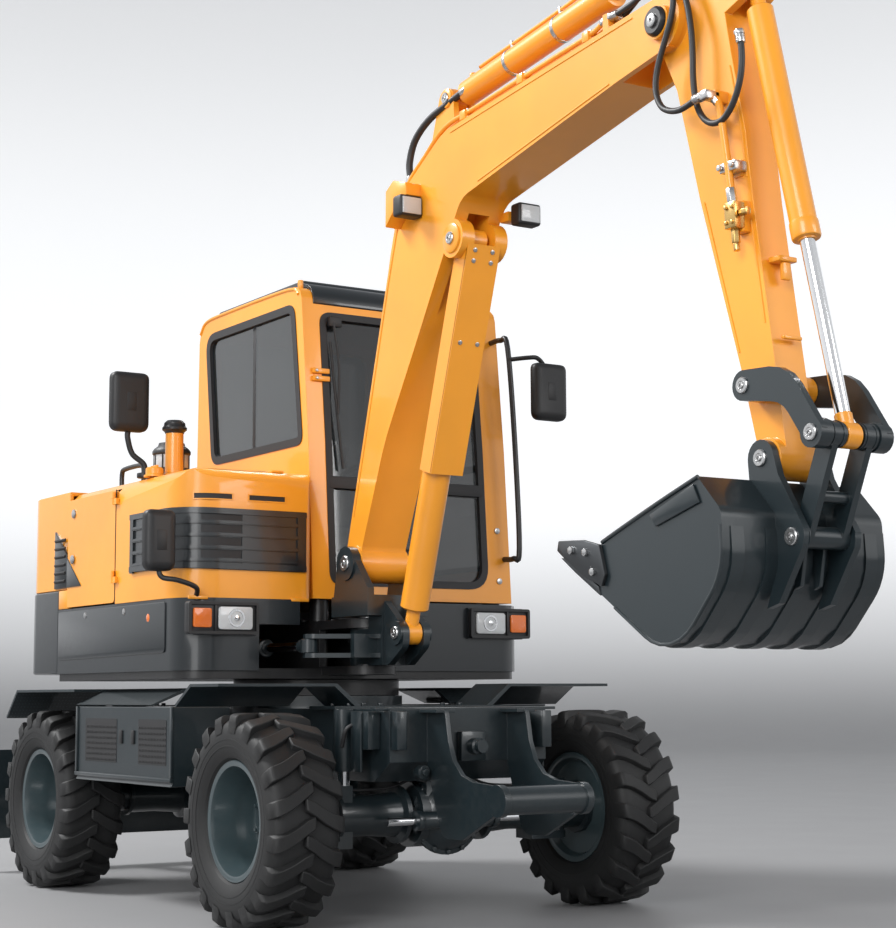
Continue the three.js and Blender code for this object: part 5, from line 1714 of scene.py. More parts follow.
        wall = [(0, 0), (0, 48), (8, 48), (12, 40), (38, 40), (44, 34), (46, 0)]
        filler.turned((-805, 60, 1890), (-805, 60, 1960), wall, 32)
        filler.box((-812, 28, 1930), (-798, 92, 1944), 4)
        filler.finish("filler_cap", Finish.YELLOW, "upper")

    def _latches(self) -> None:
        """Latches, brackets, a seam and the service hand rail on the hood."""
        steel, yellow, dark = Builder(), Builder(), Builder()
        steel.box((-470, -300, 1893), (-350, -262, 1904), 4)
        steel.box((-430, -345, 1895), (-390, -290, 1902), 3)
        yellow.box((-440, -385, 1888), (-380, -300, 1899), 4)
        for x in (-820, -330):
            yellow.box((x - 45, -452, 1316), (x + 45, -436, 1332), 4)
        for x, z in ((-897, 1560), (-894, 1780)):
            steel.turned((x, 800, z), (-920, 800, z), [(0, 0), (0, 22), (4, 21), (6, 12), (6, 0)], 24)
        dark.box((-893.2, 286, 1330), (-890, 290, 1850))
        steel.finish("hood_latches", Finish.STEEL, "upper")
        yellow.finish("hood_brackets", Finish.YELLOW, "upper")
        dark.finish("hood_seam", Finish.SEAL_AND_SHADE, "upper")
        rail = Builder()
        rail.tube(
            [
                (-640, 560, 1893), (-640, 560, 1990), (-640, 600, 2010), (-640, 780, 2010),
                (-640, 820, 1990), (-640, 820, 1893),
            ],
            12, 14, 6,
        )
        rail.finish("service_hand_rail", Finish.BLACK_PAINT_AND_SHADE, "upper")

    def _tail(self) -> None:
        """The rear grille, the hood's handle, the tail lamps and the tie slots of the counterweight, which
        are black boxes of painted shade.
        """
        louvre = small_mesh(lambda b: b.prism([(0, -10), (0, 10), (12, 4), (12, -6)], Axis.X, -210, 210, 1))
        frame = Builder()
        outline = [(-250, 1490, 40), (-250, 1690, 40), (250, 1690, 40), (250, 1490, 40)]
        rear = 1640
        frame.prism([(p.x, p.y) for p in rounded_outline(outline)], Axis.Y, rear - 30, rear + 4, 4)
        frame.box((-60, rear + 12, 1446), (60, rear + 26, 1462), 5)
        for x in (-54, 54):
            frame.box((x - 7, rear - 10, 1447), (x + 7, rear + 20, 1461), 4)
        frame.finish("rear_grille_frame", Finish.CHARCOAL, "hood")
        repeated("rear_grille_slats", louvre, [(6, (0, rear + 4, 1520), (0, 0, 28))], Finish.SEAL_AND_SHADE, "hood")
        lamps, red, slots = Builder(), Builder(), Builder()
        for side in SIDES:
            lamps.box((side * 560, 1480, 1220), (side * 740, 1560, 1300), 10)
            red.box((side * 570, 1555, 1230), (side * 690, 1568, 1290), 5)
            # Painted shade: a black box stands for the shade inside each tie slot.
            slots.box((side * 180, 1625, 1060), (side * 340, 1650, 1110), 10)
        lamps.finish("tail_lamp_housings", Finish.PLASTIC, "upper")
        red.finish("tail_lamps", Finish.RED, "upper")
        slots.finish("counterweight_tie_slot_shade", Finish.BLACK_PAINT_AND_SHADE, "upper")

    def _deck(self) -> None:
        """The swing gear's two hoses and the bolts on the nose."""
        bolt = small_mesh(lambda b: b.hexagon((0, 0, 0), (0, 0, 12), 13))
        rows = [(3, (-190 + 90 * k, -330, 1235), (0, 110, 0)) for k in range(3)]
        repeated("nose_bolts", bolt, rows, Finish.BLACK_PAINT_AND_SHADE, "upper")
        hose = Builder()
        hose.tube(
            [(-60, -420, 1150), (-60, -500, 1165), (-20, -560, 1120), (20, -520, 1060), (40, -440, 1040)],
            13, 14, 8,
        )
        hose.tube(
            [(-10, -420, 1160), (-5, -495, 1170), (40, -540, 1120), (80, -500, 1060), (90, -440, 1045)], 13,
            14, 8,
        )
        hose.finish("swing_hoses", Finish.HOSE, "upper")


# --------------------------------------------------------------------------- cab
@dataclass
class Cab:
    """Seals, the visor, the wiper, handles and other fittings on the cab."""

    right: float = -240.0
    left: float = 830.0
    seal: float = 34.0

    def build(self) -> None:
        """Builds every fitting."""
        self._side_seals()
        self._front_seal()
        self._visor()
        self._wiper()
        self._handles()
        self._inside()

    def _side_seals(self) -> None:
        """Seals round the side, rear and door panes."""
        right = [(-300, 2040, 50), (-212, 2700, 70), (720, 2700, 90), (640, 2040, 80)]
        quarter = [(500, 2040, 50), (500, 2690, 50), (730, 2690, 50), (745, 2040, 50)]
        rear = [(-130, 2010, 60), (-130, 2690, 60), (720, 2690, 60), (720, 2010, 60)]
        door = [(-262, 1500, 60), (-160, 2635, 60), (375, 2635, 60), (375, 1500, 60)]
        seals = Builder()
        for outline, x, push in ((right, self.right - 4, 22), (quarter, self.left + 2, -20)):
            outer, inner = rounded_outline(outline, -4), rounded_outline(outline, self.seal)
            seals.band([(x, *p) for p in outer], [(x, *p) for p in inner], (push, 0, 0))
        outer, inner = rounded_outline(rear, -4), rounded_outline(rear, self.seal)
        seals.band([(p.x, 834, p.y) for p in outer], [(p.x, 834, p.y) for p in inner], (0, -38, 0))
        seals.box((self.right + 11, 196, 2050), (self.right + 20, 226, 2700), 2)
        seals.finish("cab_window_seals", Finish.SEAL_AND_SHADE, "upper")
        doors = Builder()
        outer, inner = rounded_outline(door, -4), rounded_outline(door, 28)
        doors.band([(829, *p) for p in outer], [(829, *p) for p in inner], (-22, 0, 0))
        doors.box((800, -255, 1990), (830, 372, 2022), 4)
        doors.finish("door_window_seal", Finish.SEAL_AND_SHADE, "door")

    def _front_seal(self) -> None:
        """The seal that follows the leaning front, and the bar between its two panes."""
        def bar(z: float, off: float) -> Point:
            """A point off the front at a height."""
            return (cab_front(z) + off, z)

        opening = [(-150, 1400, 60), (-150, 1866, 2), (-150, 2060, 2), (-150, 2660, 60), (700, 2660, 60),
                   (700, 2060, 2), (700, 1866, 2), (700, 1400, 110)]
        outer, inner = rounded_outline(opening, -3), rounded_outline(opening, 30)
        seal = Builder()
        loops = [[(p.x, cab_front(p.y) - 5, p.y) for p in loop] for loop in (outer, inner)]
        seal.band(*loops, (0, 22, 0))
        seal.prism([bar(1838, -7), bar(1894, -7), bar(1894, 20), bar(1838, 20)], Axis.X, -140, 690, 4)
        seal.finish("windshield_seal", Finish.SEAL_AND_SHADE, "upper")
        yellow, steel = Builder(), Builder()
        for z in (2330, 2366):
            yellow.box((-208, cab_front(z) - 16, z), (-120, cab_front(z) + 2, z + 24), 4)
            steel.hexagon((-190, cab_front(z) - 16, z + 12), (-190, cab_front(z) - 22, z + 12), 8)
        for z in (1440, 1680):
            steel.rod((765, cab_front(z) + 1, z), (765, cab_front(z) - 7, z), 15, 24, 3)
        yellow.finish("windshield_brackets", Finish.YELLOW, "upper")
        steel.finish("cab_front_screws", Finish.STEEL, "upper")

    def _visor(self) -> None:
        """The dark visor that curves over the front edge of the roof."""
        profile = [
            (cab_front(2702) - 6, 2702), (cab_front(2740) - 7, 2740), (-272, 2762), (-256, 2782),
            (-232, 2797), (-205, 2806), (-160, 2812),
        ]
        visor = Builder()
        back = [(y + 12, z - 12) for y, z in reversed(profile)]
        visor.prism([*profile, *back], Axis.X, -182, 772, 2)
        visor.finish("roof_visor", Finish.CHARCOAL, "upper", 50)
        gutter = Builder()
        for x in (self.right + 2, self.left - 2):
            gutter.tube(
                [
                    (x, -250, 2742), (x, -200, 2772), (x, 0, 2781), (x, 500, 2781), (x, 720, 2772),
                    (x, 790, 2720),
                ],
                9, 10, 6,
            )
        gutter.rod((self.right + 30, -215, 2775), (self.right + 30, -215, 2815), 13, 16, 2)
        gutter.finish("roof_gutters", Finish.YELLOW, "upper")

    def _wiper(self) -> None:
        """The wiper on the upper pane and its motor cover."""
        wiper = Builder()
        wiper.box((-118, cab_front(2600) - 34, 2590), (-52, cab_front(2600) - 6, 2640), 8)
        wiper.tube(
            [
                (-96, cab_front(2600) - 30, 2610), (-78, cab_front(2400) - 30, 2400),
                (-92, cab_front(2180) - 24, 2180),
            ],
            6, 8, 6,
        )
        wiper.tube(
            [
                (-110, cab_front(2520) - 14, 2520), (-92, cab_front(2200) - 14, 2200),
                (-72, cab_front(1930) - 14, 1930),
            ],
            7, 8, 6,
        )
        wiper.finish("windshield_wiper", Finish.PLASTIC, "upper")

    def _handles(self) -> None:
        """The door handle and the rail behind the door."""
        door = Builder()
        door.box((826, 250, 1650), (836, 400, 1720), 5)
        door.tube(
            [(830, 265, 1685), (856, 280, 1685), (860, 320, 1685), (856, 375, 1685), (830, 390, 1685)], 8,
            12, 6,
        )
        door.finish("door_handle", Finish.PLASTIC, "door")
        rail = Builder()
        rail.tube(
            [
                (828, 782, 1560), (870, 782, 1570), (880, 782, 1620), (880, 782, 1960), (870, 782, 2000),
                (828, 782, 2010),
            ],
            12, 14, 6,
        )
        rail.tube(
            [(800, cab_front(1545) - 2, 1545), (800, -470, 1545), (812, -500, 1590), (806, -478, 2100),
             (795, -440, 2560), (795, -380, 2604), (795, cab_front(2604) - 2, 2604)],
            13, 14, 6,
        )
        rail.finish("cab_hand_rail", Finish.BLACK_PAINT_AND_SHADE, "upper")

    def _inside(self) -> None:
        """The monitor, the pedals with their levers and the lever grips."""
        inside, knobs = Builder(), Builder()
        inside.box((-160, -250, 1700), (-30, -215, 1850), 10)
        inside.box((-110, -240, 1640), (-80, -220, 1710), 3)
        for x in (230, 400):
            inside.prism([(-230, 1410), (-150, 1440), (-160, 1460), (-240, 1430)], Axis.X, x - 40, x + 40, 3)
            inside.rod((x, -180, 1440), (x, -150, 1700), 8, 12)
        for side in SIDES:
            x = 315 + side * 300
            grip = [(0, 0), (0, 16), (16, 26), (44, 28), (62, 22), (70, 8), (70, 0)]
            knobs.turned((x, 88, 1960), (x, 84, 2040), grip, 24)
            boot = [(0, 0), (0, 52), (14, 48), (30, 34), (40, 36), (54, 24), (54, 0)]
            knobs.turned((x, 111, 1788), (x, 100, 1860), boot, 24)
        inside.finish("cab_inside_fittings", Finish.PLASTIC, "upper")
        knobs.finish("lever_grips", Finish.GREY_PLASTIC, "upper")


# --------------------------------------------------------------------------- boom and arm
@dataclass
class Boom:
    """Pins, pipes, lights and welds on the boom."""

    half: float = 110.0

    def build(self) -> None:
        """Builds every fitting."""
        self._pins()
        self._pipes()
        self._lights()
        self._welds()
        self._guard()

    @staticmethod
    def _raised(builder: Builder, reach: float, spot: Point, profile: Sequence[Point], sides: int) -> None:
        """A turned boss that faces outwards, at a reach to either side of the boom's middle."""
        start = BOOM_X + reach
        builder.turned((start, *spot), (start + math.copysign(1, reach), *spot), profile, sides)

    def _pins(self) -> None:
        """Pin ends at the foot, the cylinder's head and the arm pivot."""
        steel, dark, boss = Builder(), Builder(), Builder()
        for side in SIDES:
            pivot, lift, crowd = (-2860, 3235), (-1508, 2746), (-1390, 3372)
            self._raised(dark, side * 132, pivot, [(0, 0), (0, 54), (10, 52), (18, 44), (18, 0)], 40)
            screw = [(0, 0), (0, 24), (8, 24), (10, 20), (10, 8), (4, 8), (4, 0)]
            self._raised(steel, side * 149, pivot, screw, 28)
            self._raised(boss, side * 109, lift, [(0, 0), (0, 62), (7, 60), (10, 54), (10, 0)], 40)
            steel.pin_end((BOOM_X + side * 119, *lift), side, 26)
            self._raised(boss, side * 55, crowd, [(0, 0), (0, 42), (7, 40), (9, 36), (9, 0)], 32)
            steel.pin_end((BOOM_X + side * 63, *crowd), side, 24)
        steel.finish("boom_pin_ends", Finish.STEEL, "boom_arm")
        dark.finish("arm_pivot_caps", Finish.BLACK_PAINT_AND_SHADE, "boom_arm")
        boss.finish("boom_pin_bosses", Finish.YELLOW, "boom_arm")
        post = Builder()
        for side in SIDES:
            post.pin_end((BOOM_X + side * 157, -720, 1470), side, 34)
            post.pin_end((BOOM_X + side * 75, -1000, 1165), side, 28)
        post.pin_end((BOOM_X, -660, 1240), 1, 50, Axis.Z)
        post.finish("post_pin_ends", Finish.STEEL, "post")

    def _pipes(self) -> None:
        """Two steel pipes along the top edge with their clamps, and the hose up to the arm cylinder."""
        pipes, clamps, hose, fitting = Builder(), Builder(), Builder(), Builder()
        run = [(-985, 2600), (-1030, 2780), (-1090, 2940), (-1160, 3052), (-1290, 3135), (-1450, 3222),
               (-1700, 3246), (-2150, 3288), (-2440, 3315), (-2530, 3342)]
        for x in (-196, -166):
            lift = 0 if x == -196 else 2
            pipes.tube([(x, y + 6, z + 8 + lift) for y, z in run], 10, 14, 5)
            fitting.rod((x, -2505, 3342), (x, -2530, 3350), 15, 6, 1)
        for y, z in ((-1590, 3236), (-1995, 3274), (-2420, 3313)):
            clamps.box((-212, y - 20, z - 16), (-150, y + 20, z + 24), 4)
            fitting.hexagon((-181, y, z + 24), (-181, y, z + 34), 9)
        clamps.box((-212, -1075, 2880), (-150, -1050, 2930), 4)
        hose.tube(
            [
                (-172, -1128, 3085), (-172, -1120, 3160), (-168, -1160, 3250), (-160, -1260, 3315),
                (-152, -1400, 3350), (-140, -1500, 3378),
            ],
            15, 14, 8,
        )
        fitting.rod((-172, -1128, 3050), (-172, -1128, 3098), 18, 20, 2)
        fitting.hexagon((-172, -1128, 3040), (-172, -1128, 3056), 22)
        fitting.rod((-142, -1480, 3372), (-132, -1540, 3390), 18, 20, 2)
        pipes.finish("boom_pipes", Finish.YELLOW, "boom_arm")
        clamps.finish("boom_pipe_clamps", Finish.YELLOW, "boom_arm")
        hose.finish("arm_cylinder_hose", Finish.HOSE, "boom_arm")
        fitting.finish("boom_fittings", Finish.STEEL, "boom_arm")

    def _lights(self) -> None:
        """Two work lights in brackets at the elbow."""
        bracket, body, lens = Builder(), Builder(), Builder()
        for side, centre in ((-1, (-1200, 2925)), (1, (-1585, 2850))):
            y, z = centre
            x = BOOM_X + side * 108
            if side < 0:
                bracket.prism(
                    [
                        (y + 95, z - 60), (y + 92, z + 95), (y + 30, z + 130), (y - 70, z + 100),
                        (y - 78, z + 46), (y - 20, z + 34),
                    ],
                    Axis.X, x, x - 78, 5,
                )
            else:
                bracket.box((x, y - 10, z - 20), (x + 60, y + 50, z + 20), 4)
            low, high = (x + side * 2, y - 88, z - 46), (x + side * 112, y - 20, z + 44)
            body.box(low, high, 12, 3)
            lens.box((x + side * 12, y - 93, z - 36), (x + side * 102, y - 84, z + 34), 4)
        bracket.finish("work_light_brackets", Finish.YELLOW, "boom_arm")
        body.finish("work_light_bodies", Finish.PLASTIC, "boom_arm")
        lens.finish("work_light_lenses", Finish.CLEAR_LENS, "boom_arm")

    def _welds(self) -> None:
        """Weld beads along the edges where the side plates meet the top and bottom plates."""
        beads = Builder()
        top = [(-700, 1680), (-800, 2010), (-900, 2345), (-1000, 2680), (-1085, 2930)]
        ahead = [(-1500, 3205), (-1900, 3242), (-2300, 3279), (-2700, 3316)]
        under = [(-1700, 2925), (-2000, 2980), (-2300, 3035), (-2560, 3082)]
        for side in SIDES:
            x = BOOM_X + side * (self.half + 0.4)
            for run, off in ((top, -15), (ahead, -15), (under, 15)):
                shift = (off, -4) if run is top else (0, off)
                beads.tube([(x, y + shift[0], z + shift[1]) for y, z in run], 3.2, 8, 4)
        beads.finish("boom_weld_beads", Finish.YELLOW, "boom_arm")

    def _guard(self) -> None:
        """The long guard plate that shields the lift cylinder's rod and slides over its barrel."""
        foot, head = Vector((0, -1000, 1165)), Vector((0, -1508, 2746))
        axis = (head - foot).normalized()
        out = Vector((0, -axis.z, axis.y))

        def at(along: float, off: float, lateral: float) -> Vector:
            """A point by its distance from the foot, off the axis and across."""
            return Vector((BOOM_X + lateral, 0, 0)) + foot + axis * along + out * off

        guard = Builder()
        top, bottom = 1655.0, 700.0
        for low_off, high_off, left, right in ((72, 80, -78, 78), (-10, 76, -78, -70), (-10, 76, 70, 78)):
            corners = ((low_off, left), (high_off, left), (high_off, right), (low_off, right))
            guard.loft([[at(along, off, lateral) for off, lateral in corners] for along in (bottom, top)])
        for lateral in (-34, 34):
            guard.rod(at(1600, -6, lateral), at(1540, 76, lateral), 9, 8)
        guard.rod(at(1560, 40, -74), at(1560, 40, 74), 10, 16, 1)
        guard.finish("rod_guard", Finish.YELLOW, "boom_rod")
        screws = Builder()
        for along, lateral in ((1630, -42), (1630, 42), (1586, -42), (1586, 42), (1250, -42), (1250, 42)):
            screws.rod(at(along, 79, lateral), at(along, 84, lateral), 10, 16, 2)
        screws.finish("rod_guard_screws", Finish.STEEL, "boom_rod")


@dataclass
class Arm:
    """Pins, pipes, the valve block and welds on the arm."""

    half: float = 65.0

    def build(self) -> None:
        """Builds every fitting."""
        self._pipe_run()
        self._pins()
        self._plates()

    def _pipe_run(self) -> None:
        """The pipe from the first hose's elbow down to the valve block, with its clamp."""
        x = -212.0
        pipe, steel, brass = Builder(), Builder(), Builder()
        pipe.tube(
            [(x, -3142, 2884), (x, -3160, 2850), (x, -3184, 2720), (x, -3200, 2620), (x, -3210, 2545)], 13,
            16, 6,
        )
        steel.rod((x, -3206, 2560), (x, -3214, 2510), 17, 6, 1)
        steel.box((-263, -3152, 2876), (-200, -3117, 2908), 5)
        steel.rod((-222, -3136, 2892), (x, -3152, 2866), 15, 6, 1)
        brass.box((x - 24, -3224 - 26, 2420), (x + 22, -3224 + 26, 2508), 3)
        brass.rod((x, -3224, 2420), (x, -3228, 2372), 15, 6, 1)
        brass.rod((x, -3228, 2372), (x, -3232, 2346), 11, 16, 1)
        brass.rod((x, -3255, 2470), (x, -3290, 2468), 14, 6, 1)
        steel.box((x - 8, -3196 - 44, 2618), (x + 46, -3196 + 36, 2652), 4)
        for y in (-3228, -3168):
            steel.rod((x - 8, y, 2635), (x - 20, y, 2635), 10, 16, 2)
        for y, z in ((-3238, 2490), (-3208, 2490), (-3238, 2438), (-3208, 2438)):
            brass.rod((x - 24, y, z), (x - 30, y, z), 7, 12, 1)
        pipe.box((x + 14, -3250, 2410), (-160, -3196, 2514), 4)
        pipe.box((x + 40, -3220, 2606), (-160, -3176, 2664), 4)
        pipe.box((x - 10, -3152, 2872), (-160, -3122, 2912), 4)
        pipe.finish("arm_pipe", Finish.YELLOW, "dipper")
        steel.finish("arm_fittings", Finish.STEEL, "dipper")
        brass.finish("arm_valve_block", Finish.BRASS, "dipper")

    def _pins(self) -> None:
        """Pin ends on the linkage, the bucket and the arm's own brackets."""
        for body, name, pins in (
            ("guide_links", "guide_link_pin_ends", (((-3290, 1887), 154, 27), ((-3595, 1700), 154, 27))),
            ("tool", "bucket_pin_ends", (((-3330, 1650), 122, 28), ((-3465, 1390), 122, 28))),
            ("dipper", "arm_pin_ends", (((-2870, 3545), 65, 26), ((-3225, 3275), 65, 24))),
        ):
            steel = Builder()
            for (y, z), reach, radius in pins:
                for side in SIDES:
                    steel.pin_end((BOOM_X + side * reach, y, z), side, radius)
            steel.finish(name, Finish.STEEL, body)
        collars = Builder()
        for side in SIDES:
            for reach in (46, 85):
                start, end = ((BOOM_X + side * (reach + off), -3595, 1700) for off in (0, 8))
                collars.turned(start, end, [(0, 0), (0, 44), (8, 44), (8, 0)], 32)
        collars.finish("tool_link_collars", Finish.CHASSIS, "tool_link")

    def _plates(self) -> None:
        """Stops, lugs and weld beads on the arm's faces."""
        plates = Builder()
        plates.box((BOOM_X - 40, -3300, 2300), (BOOM_X + 40, -3352, 2318), 4)
        plates.box((BOOM_X - 18, -3330, 2240), (BOOM_X + 18, -3345, 2300), 4)
        plates.box((BOOM_X - 40, -3352, 2040), (BOOM_X + 40, -3366, 2052), 3)
        for side in SIDES:
            x = BOOM_X + side * (self.half + 0.4)
            for run in (
                ((-3252, 2450), (-3279, 2280), (-3306, 2100)),
                ((-3020, 2560), (-3100, 2290), (-3180, 2020)),
                ((-3165, 3000), (-3210, 2790), (-3236, 2600)),
            ):
                plates.tube([(x, *spot) for spot in run], 3.2, 8, 4)
        plates.finish("arm_stops_and_welds", Finish.YELLOW, "dipper")


@dataclass
class Bucket:
    """Cutting edge, side cutters, wear strips and stiffeners of the bucket."""

    half: float = 345.0

    def build(self) -> None:
        """Builds every fitting."""
        edge = Builder()
        x0, x1 = BOOM_X - self.half, BOOM_X + self.half
        edge.prism(
            [(-2780, 1232), (-2640, 1318), (-2560, 1372), (-2625, 1356), (-2775, 1262)], Axis.X, x0 - 6,
            x1 + 6, 3,
        )
        edge.finish("bucket_cutting_edge", Finish.WORN_STEEL, "tool")
        cutters, bolts = Builder(), Builder()
        for side in SIDES:
            x = BOOM_X + side * self.half
            cutters.prism(
                [
                    (-2560, 1430), (-2552, 1396), (-2600, 1362), (-2700, 1300), (-2800, 1262),
                    (-2820, 1300), (-2790, 1402), (-2700, 1424),
                ],
                Axis.X, x, x + side * 16, 4,
            )
            for y, z in ((-2640, 1392), (-2720, 1380), (-2760, 1312)):
                bolts.rod((x + side * 15, y, z), (x + side * 27, y, z), 14, 6, 1)
        cutters.finish("bucket_side_cutters", Finish.WORN_STEEL, "tool")
        bolts.finish("bucket_cutter_bolts", Finish.STEEL, "tool")
        strips = Builder()
        arc = self._outside()
        for k in range(5):
            self._strip(strips, arc, BOOM_X - 285 + 142.5 * k)
        strips.finish("bucket_wear_strips", Finish.CHASSIS, "tool")
        trims = Builder()
        for side in SIDES:
            x = BOOM_X + side * (self.half + 1)
            trims.tube([(x, -3288, 1582), (x, -3100, 1520), (x, -2900, 1450), (x, -2790, 1410)], 7, 10, 4)
            trims.tube([(x, y + 5, z + 5) for y, z in arc], 6, 10, 1)
            trims.prism(
                [(-3300, 1500), (-3270, 1560), (-3050, 1480), (-3080, 1440)], Axis.X, x, x + side * 8, 3
            )
        trims.finish("bucket_edge_trims", Finish.CHASSIS, "tool")
        web = Builder()
        for lateral in (-40, 40):
            x = BOOM_X + lateral
            web.prism([(-3396, 1440), (-3448, 1380), (-3420, 1240), (-3392, 1230)], Axis.X, x - 8, x + 8, 3)
        web.rod((BOOM_X - 96, -3465, 1390), (BOOM_X - 99, -3465, 1390), 58, 32)
        web.finish("bucket_ear_webs", Finish.CHASSIS, "tool")

    def _outside(self) -> list[Point]:
        """The back and the bottom of the shell, from the top down."""
        (y0, z0), (y1, z1), (y2, z2), (y3, z3) = (-3392, 1470), (-3400, 1270), (-3150, 1000), (-2660, 1312)
        path = [(y0, z0 - 50)]
        for (ya, za), (yb, zb), (yc, zc), radius in (
            ((y0, z0), (y1, z1), (y2, z2), 200.0), ((y1, z1), (y2, z2), (y3, z3), 190.0),
        ):
            before = (Vector((ya, za)) - Vector((yb, zb))).normalized()
            after = (Vector((yc, zc)) - Vector((yb, zb))).normalized()
            half = before.angle(after) / 2
            centre = Vector((yb, zb)) + (before + after).normalized() * radius / math.sin(half)
            first = Vector((yb, zb)) + before * radius / math.tan(half) - centre
            last = Vector((yb, zb)) + after * radius / math.tan(half) - centre
            for step in range(7):
                spot = first.lerp(last, step / 6).normalized() * radius + centre
                path.append((spot.x, spot.y))
        return [*path, (-2860, 1184.6)]

    def _strip(self, builder: Builder, arc: Sequence[Point], x: float) -> None:
        """One wear strip wrapped round the bucket's outside."""
        centre = Vector((0, -3050, 1380))
        sections = []
        for spot in smooth_path([Vector((0, *p)) for p in arc], 4):
            out = (spot - centre).normalized() * 5
            corners = [(x - 26, spot - out), (x - 26, spot + out), (x + 26, spot + out), (x + 26, spot - out)]
            sections.append([(lateral, p.y, p.z) for lateral, p in corners])
        builder.loft(sections)


# --------------------------------------------------------------------------- mirrors
@dataclass
class Mirror:
    """A mirror head on its arm: a crowned shell, a rim and a silvered face towards the operator."""

    node: str
    low: Point
    high: Point
    arms: Sequence[Sequence[Point]]
    arm_radius: float
    foot: Point | None = None

    def build(self) -> None:
        """Builds the head, the plate and the arm, which stand for the CAD mirror."""
        (x0, y0, z0), (x1, y1, z1) = self.low, self.high
        outline = [(x0, z0, 42), (x0, z1, 34), (x1, z1, 34), (x1, z0, 42)]
        head = Builder()
        steps = (
            (34, y0), (14, y0 + 5), (3, y0 + 14), (0, y0 + 24), (0, y1 - 4), (5, y1), (11, y1), (14, y1 - 5)
        )
        head.loft([[(p.x, y, p.y) for p in rounded_outline(outline, inset)] for inset, y in steps])
        middle = ((x0 + x1) / 2, y0 + 4, (z0 + z1) / 2)
        head.box((middle[0] - 24, y0 - 2, middle[2] - 44), (middle[0] + 24, y0 + 8, middle[2] + 44), 6)
        for points in self.arms:
            head.tube(points, self.arm_radius, 14, 8)
            head.rod(points[-1], Vector(points[-1]) + Vector((0, 0, 46)), self.arm_radius + 8, 20, 4)
        if self.foot:
            head.rod(self.foot, Vector(self.foot) + Vector((0, 0, 24)), 32, 28, 4)
        piece = head.finish(f"{self.node}_head", Finish.PLASTIC, "upper", 40)
        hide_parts(self.node)
        plate = Builder()
        face = [(p.x, p.y) for p in rounded_outline(outline, 16)]
        plate.prism(face, Axis.Y, y1 - 6, y1 - 3.5)
        plate.finish(f"{self.node}_plate", Finish.MIRROR, "upper")


MIRRORS = (
    Mirror("mirror_right", (-965, 170, 2110), (-780, 222, 2385),
           [[(-800, 190, 1899), (-800, 190, 1960), (-850, 210, 2010), (-872, 214, 2080), (-872, 214, 2118)]],
           13, (-800, 190, 1898)),
    Mirror("mirror_front", (-1075, -480, 1430), (-935, -428, 1690),
           [[(-825, -441, 1312), (-825, -441, 1330), (-845, -475, 1365), (-930, -480, 1392),
             (-990, -450, 1405), (-1005, -440, 1450)]], 11),
    Mirror("mirror_left", (865, -575, 2205), (1055, -525, 2480),
           [[(798, -452, 2500), (860, -520, 2505), (905, -530, 2505), (940, -535, 2470),
             (955, -535, 2420)]], 11),
)


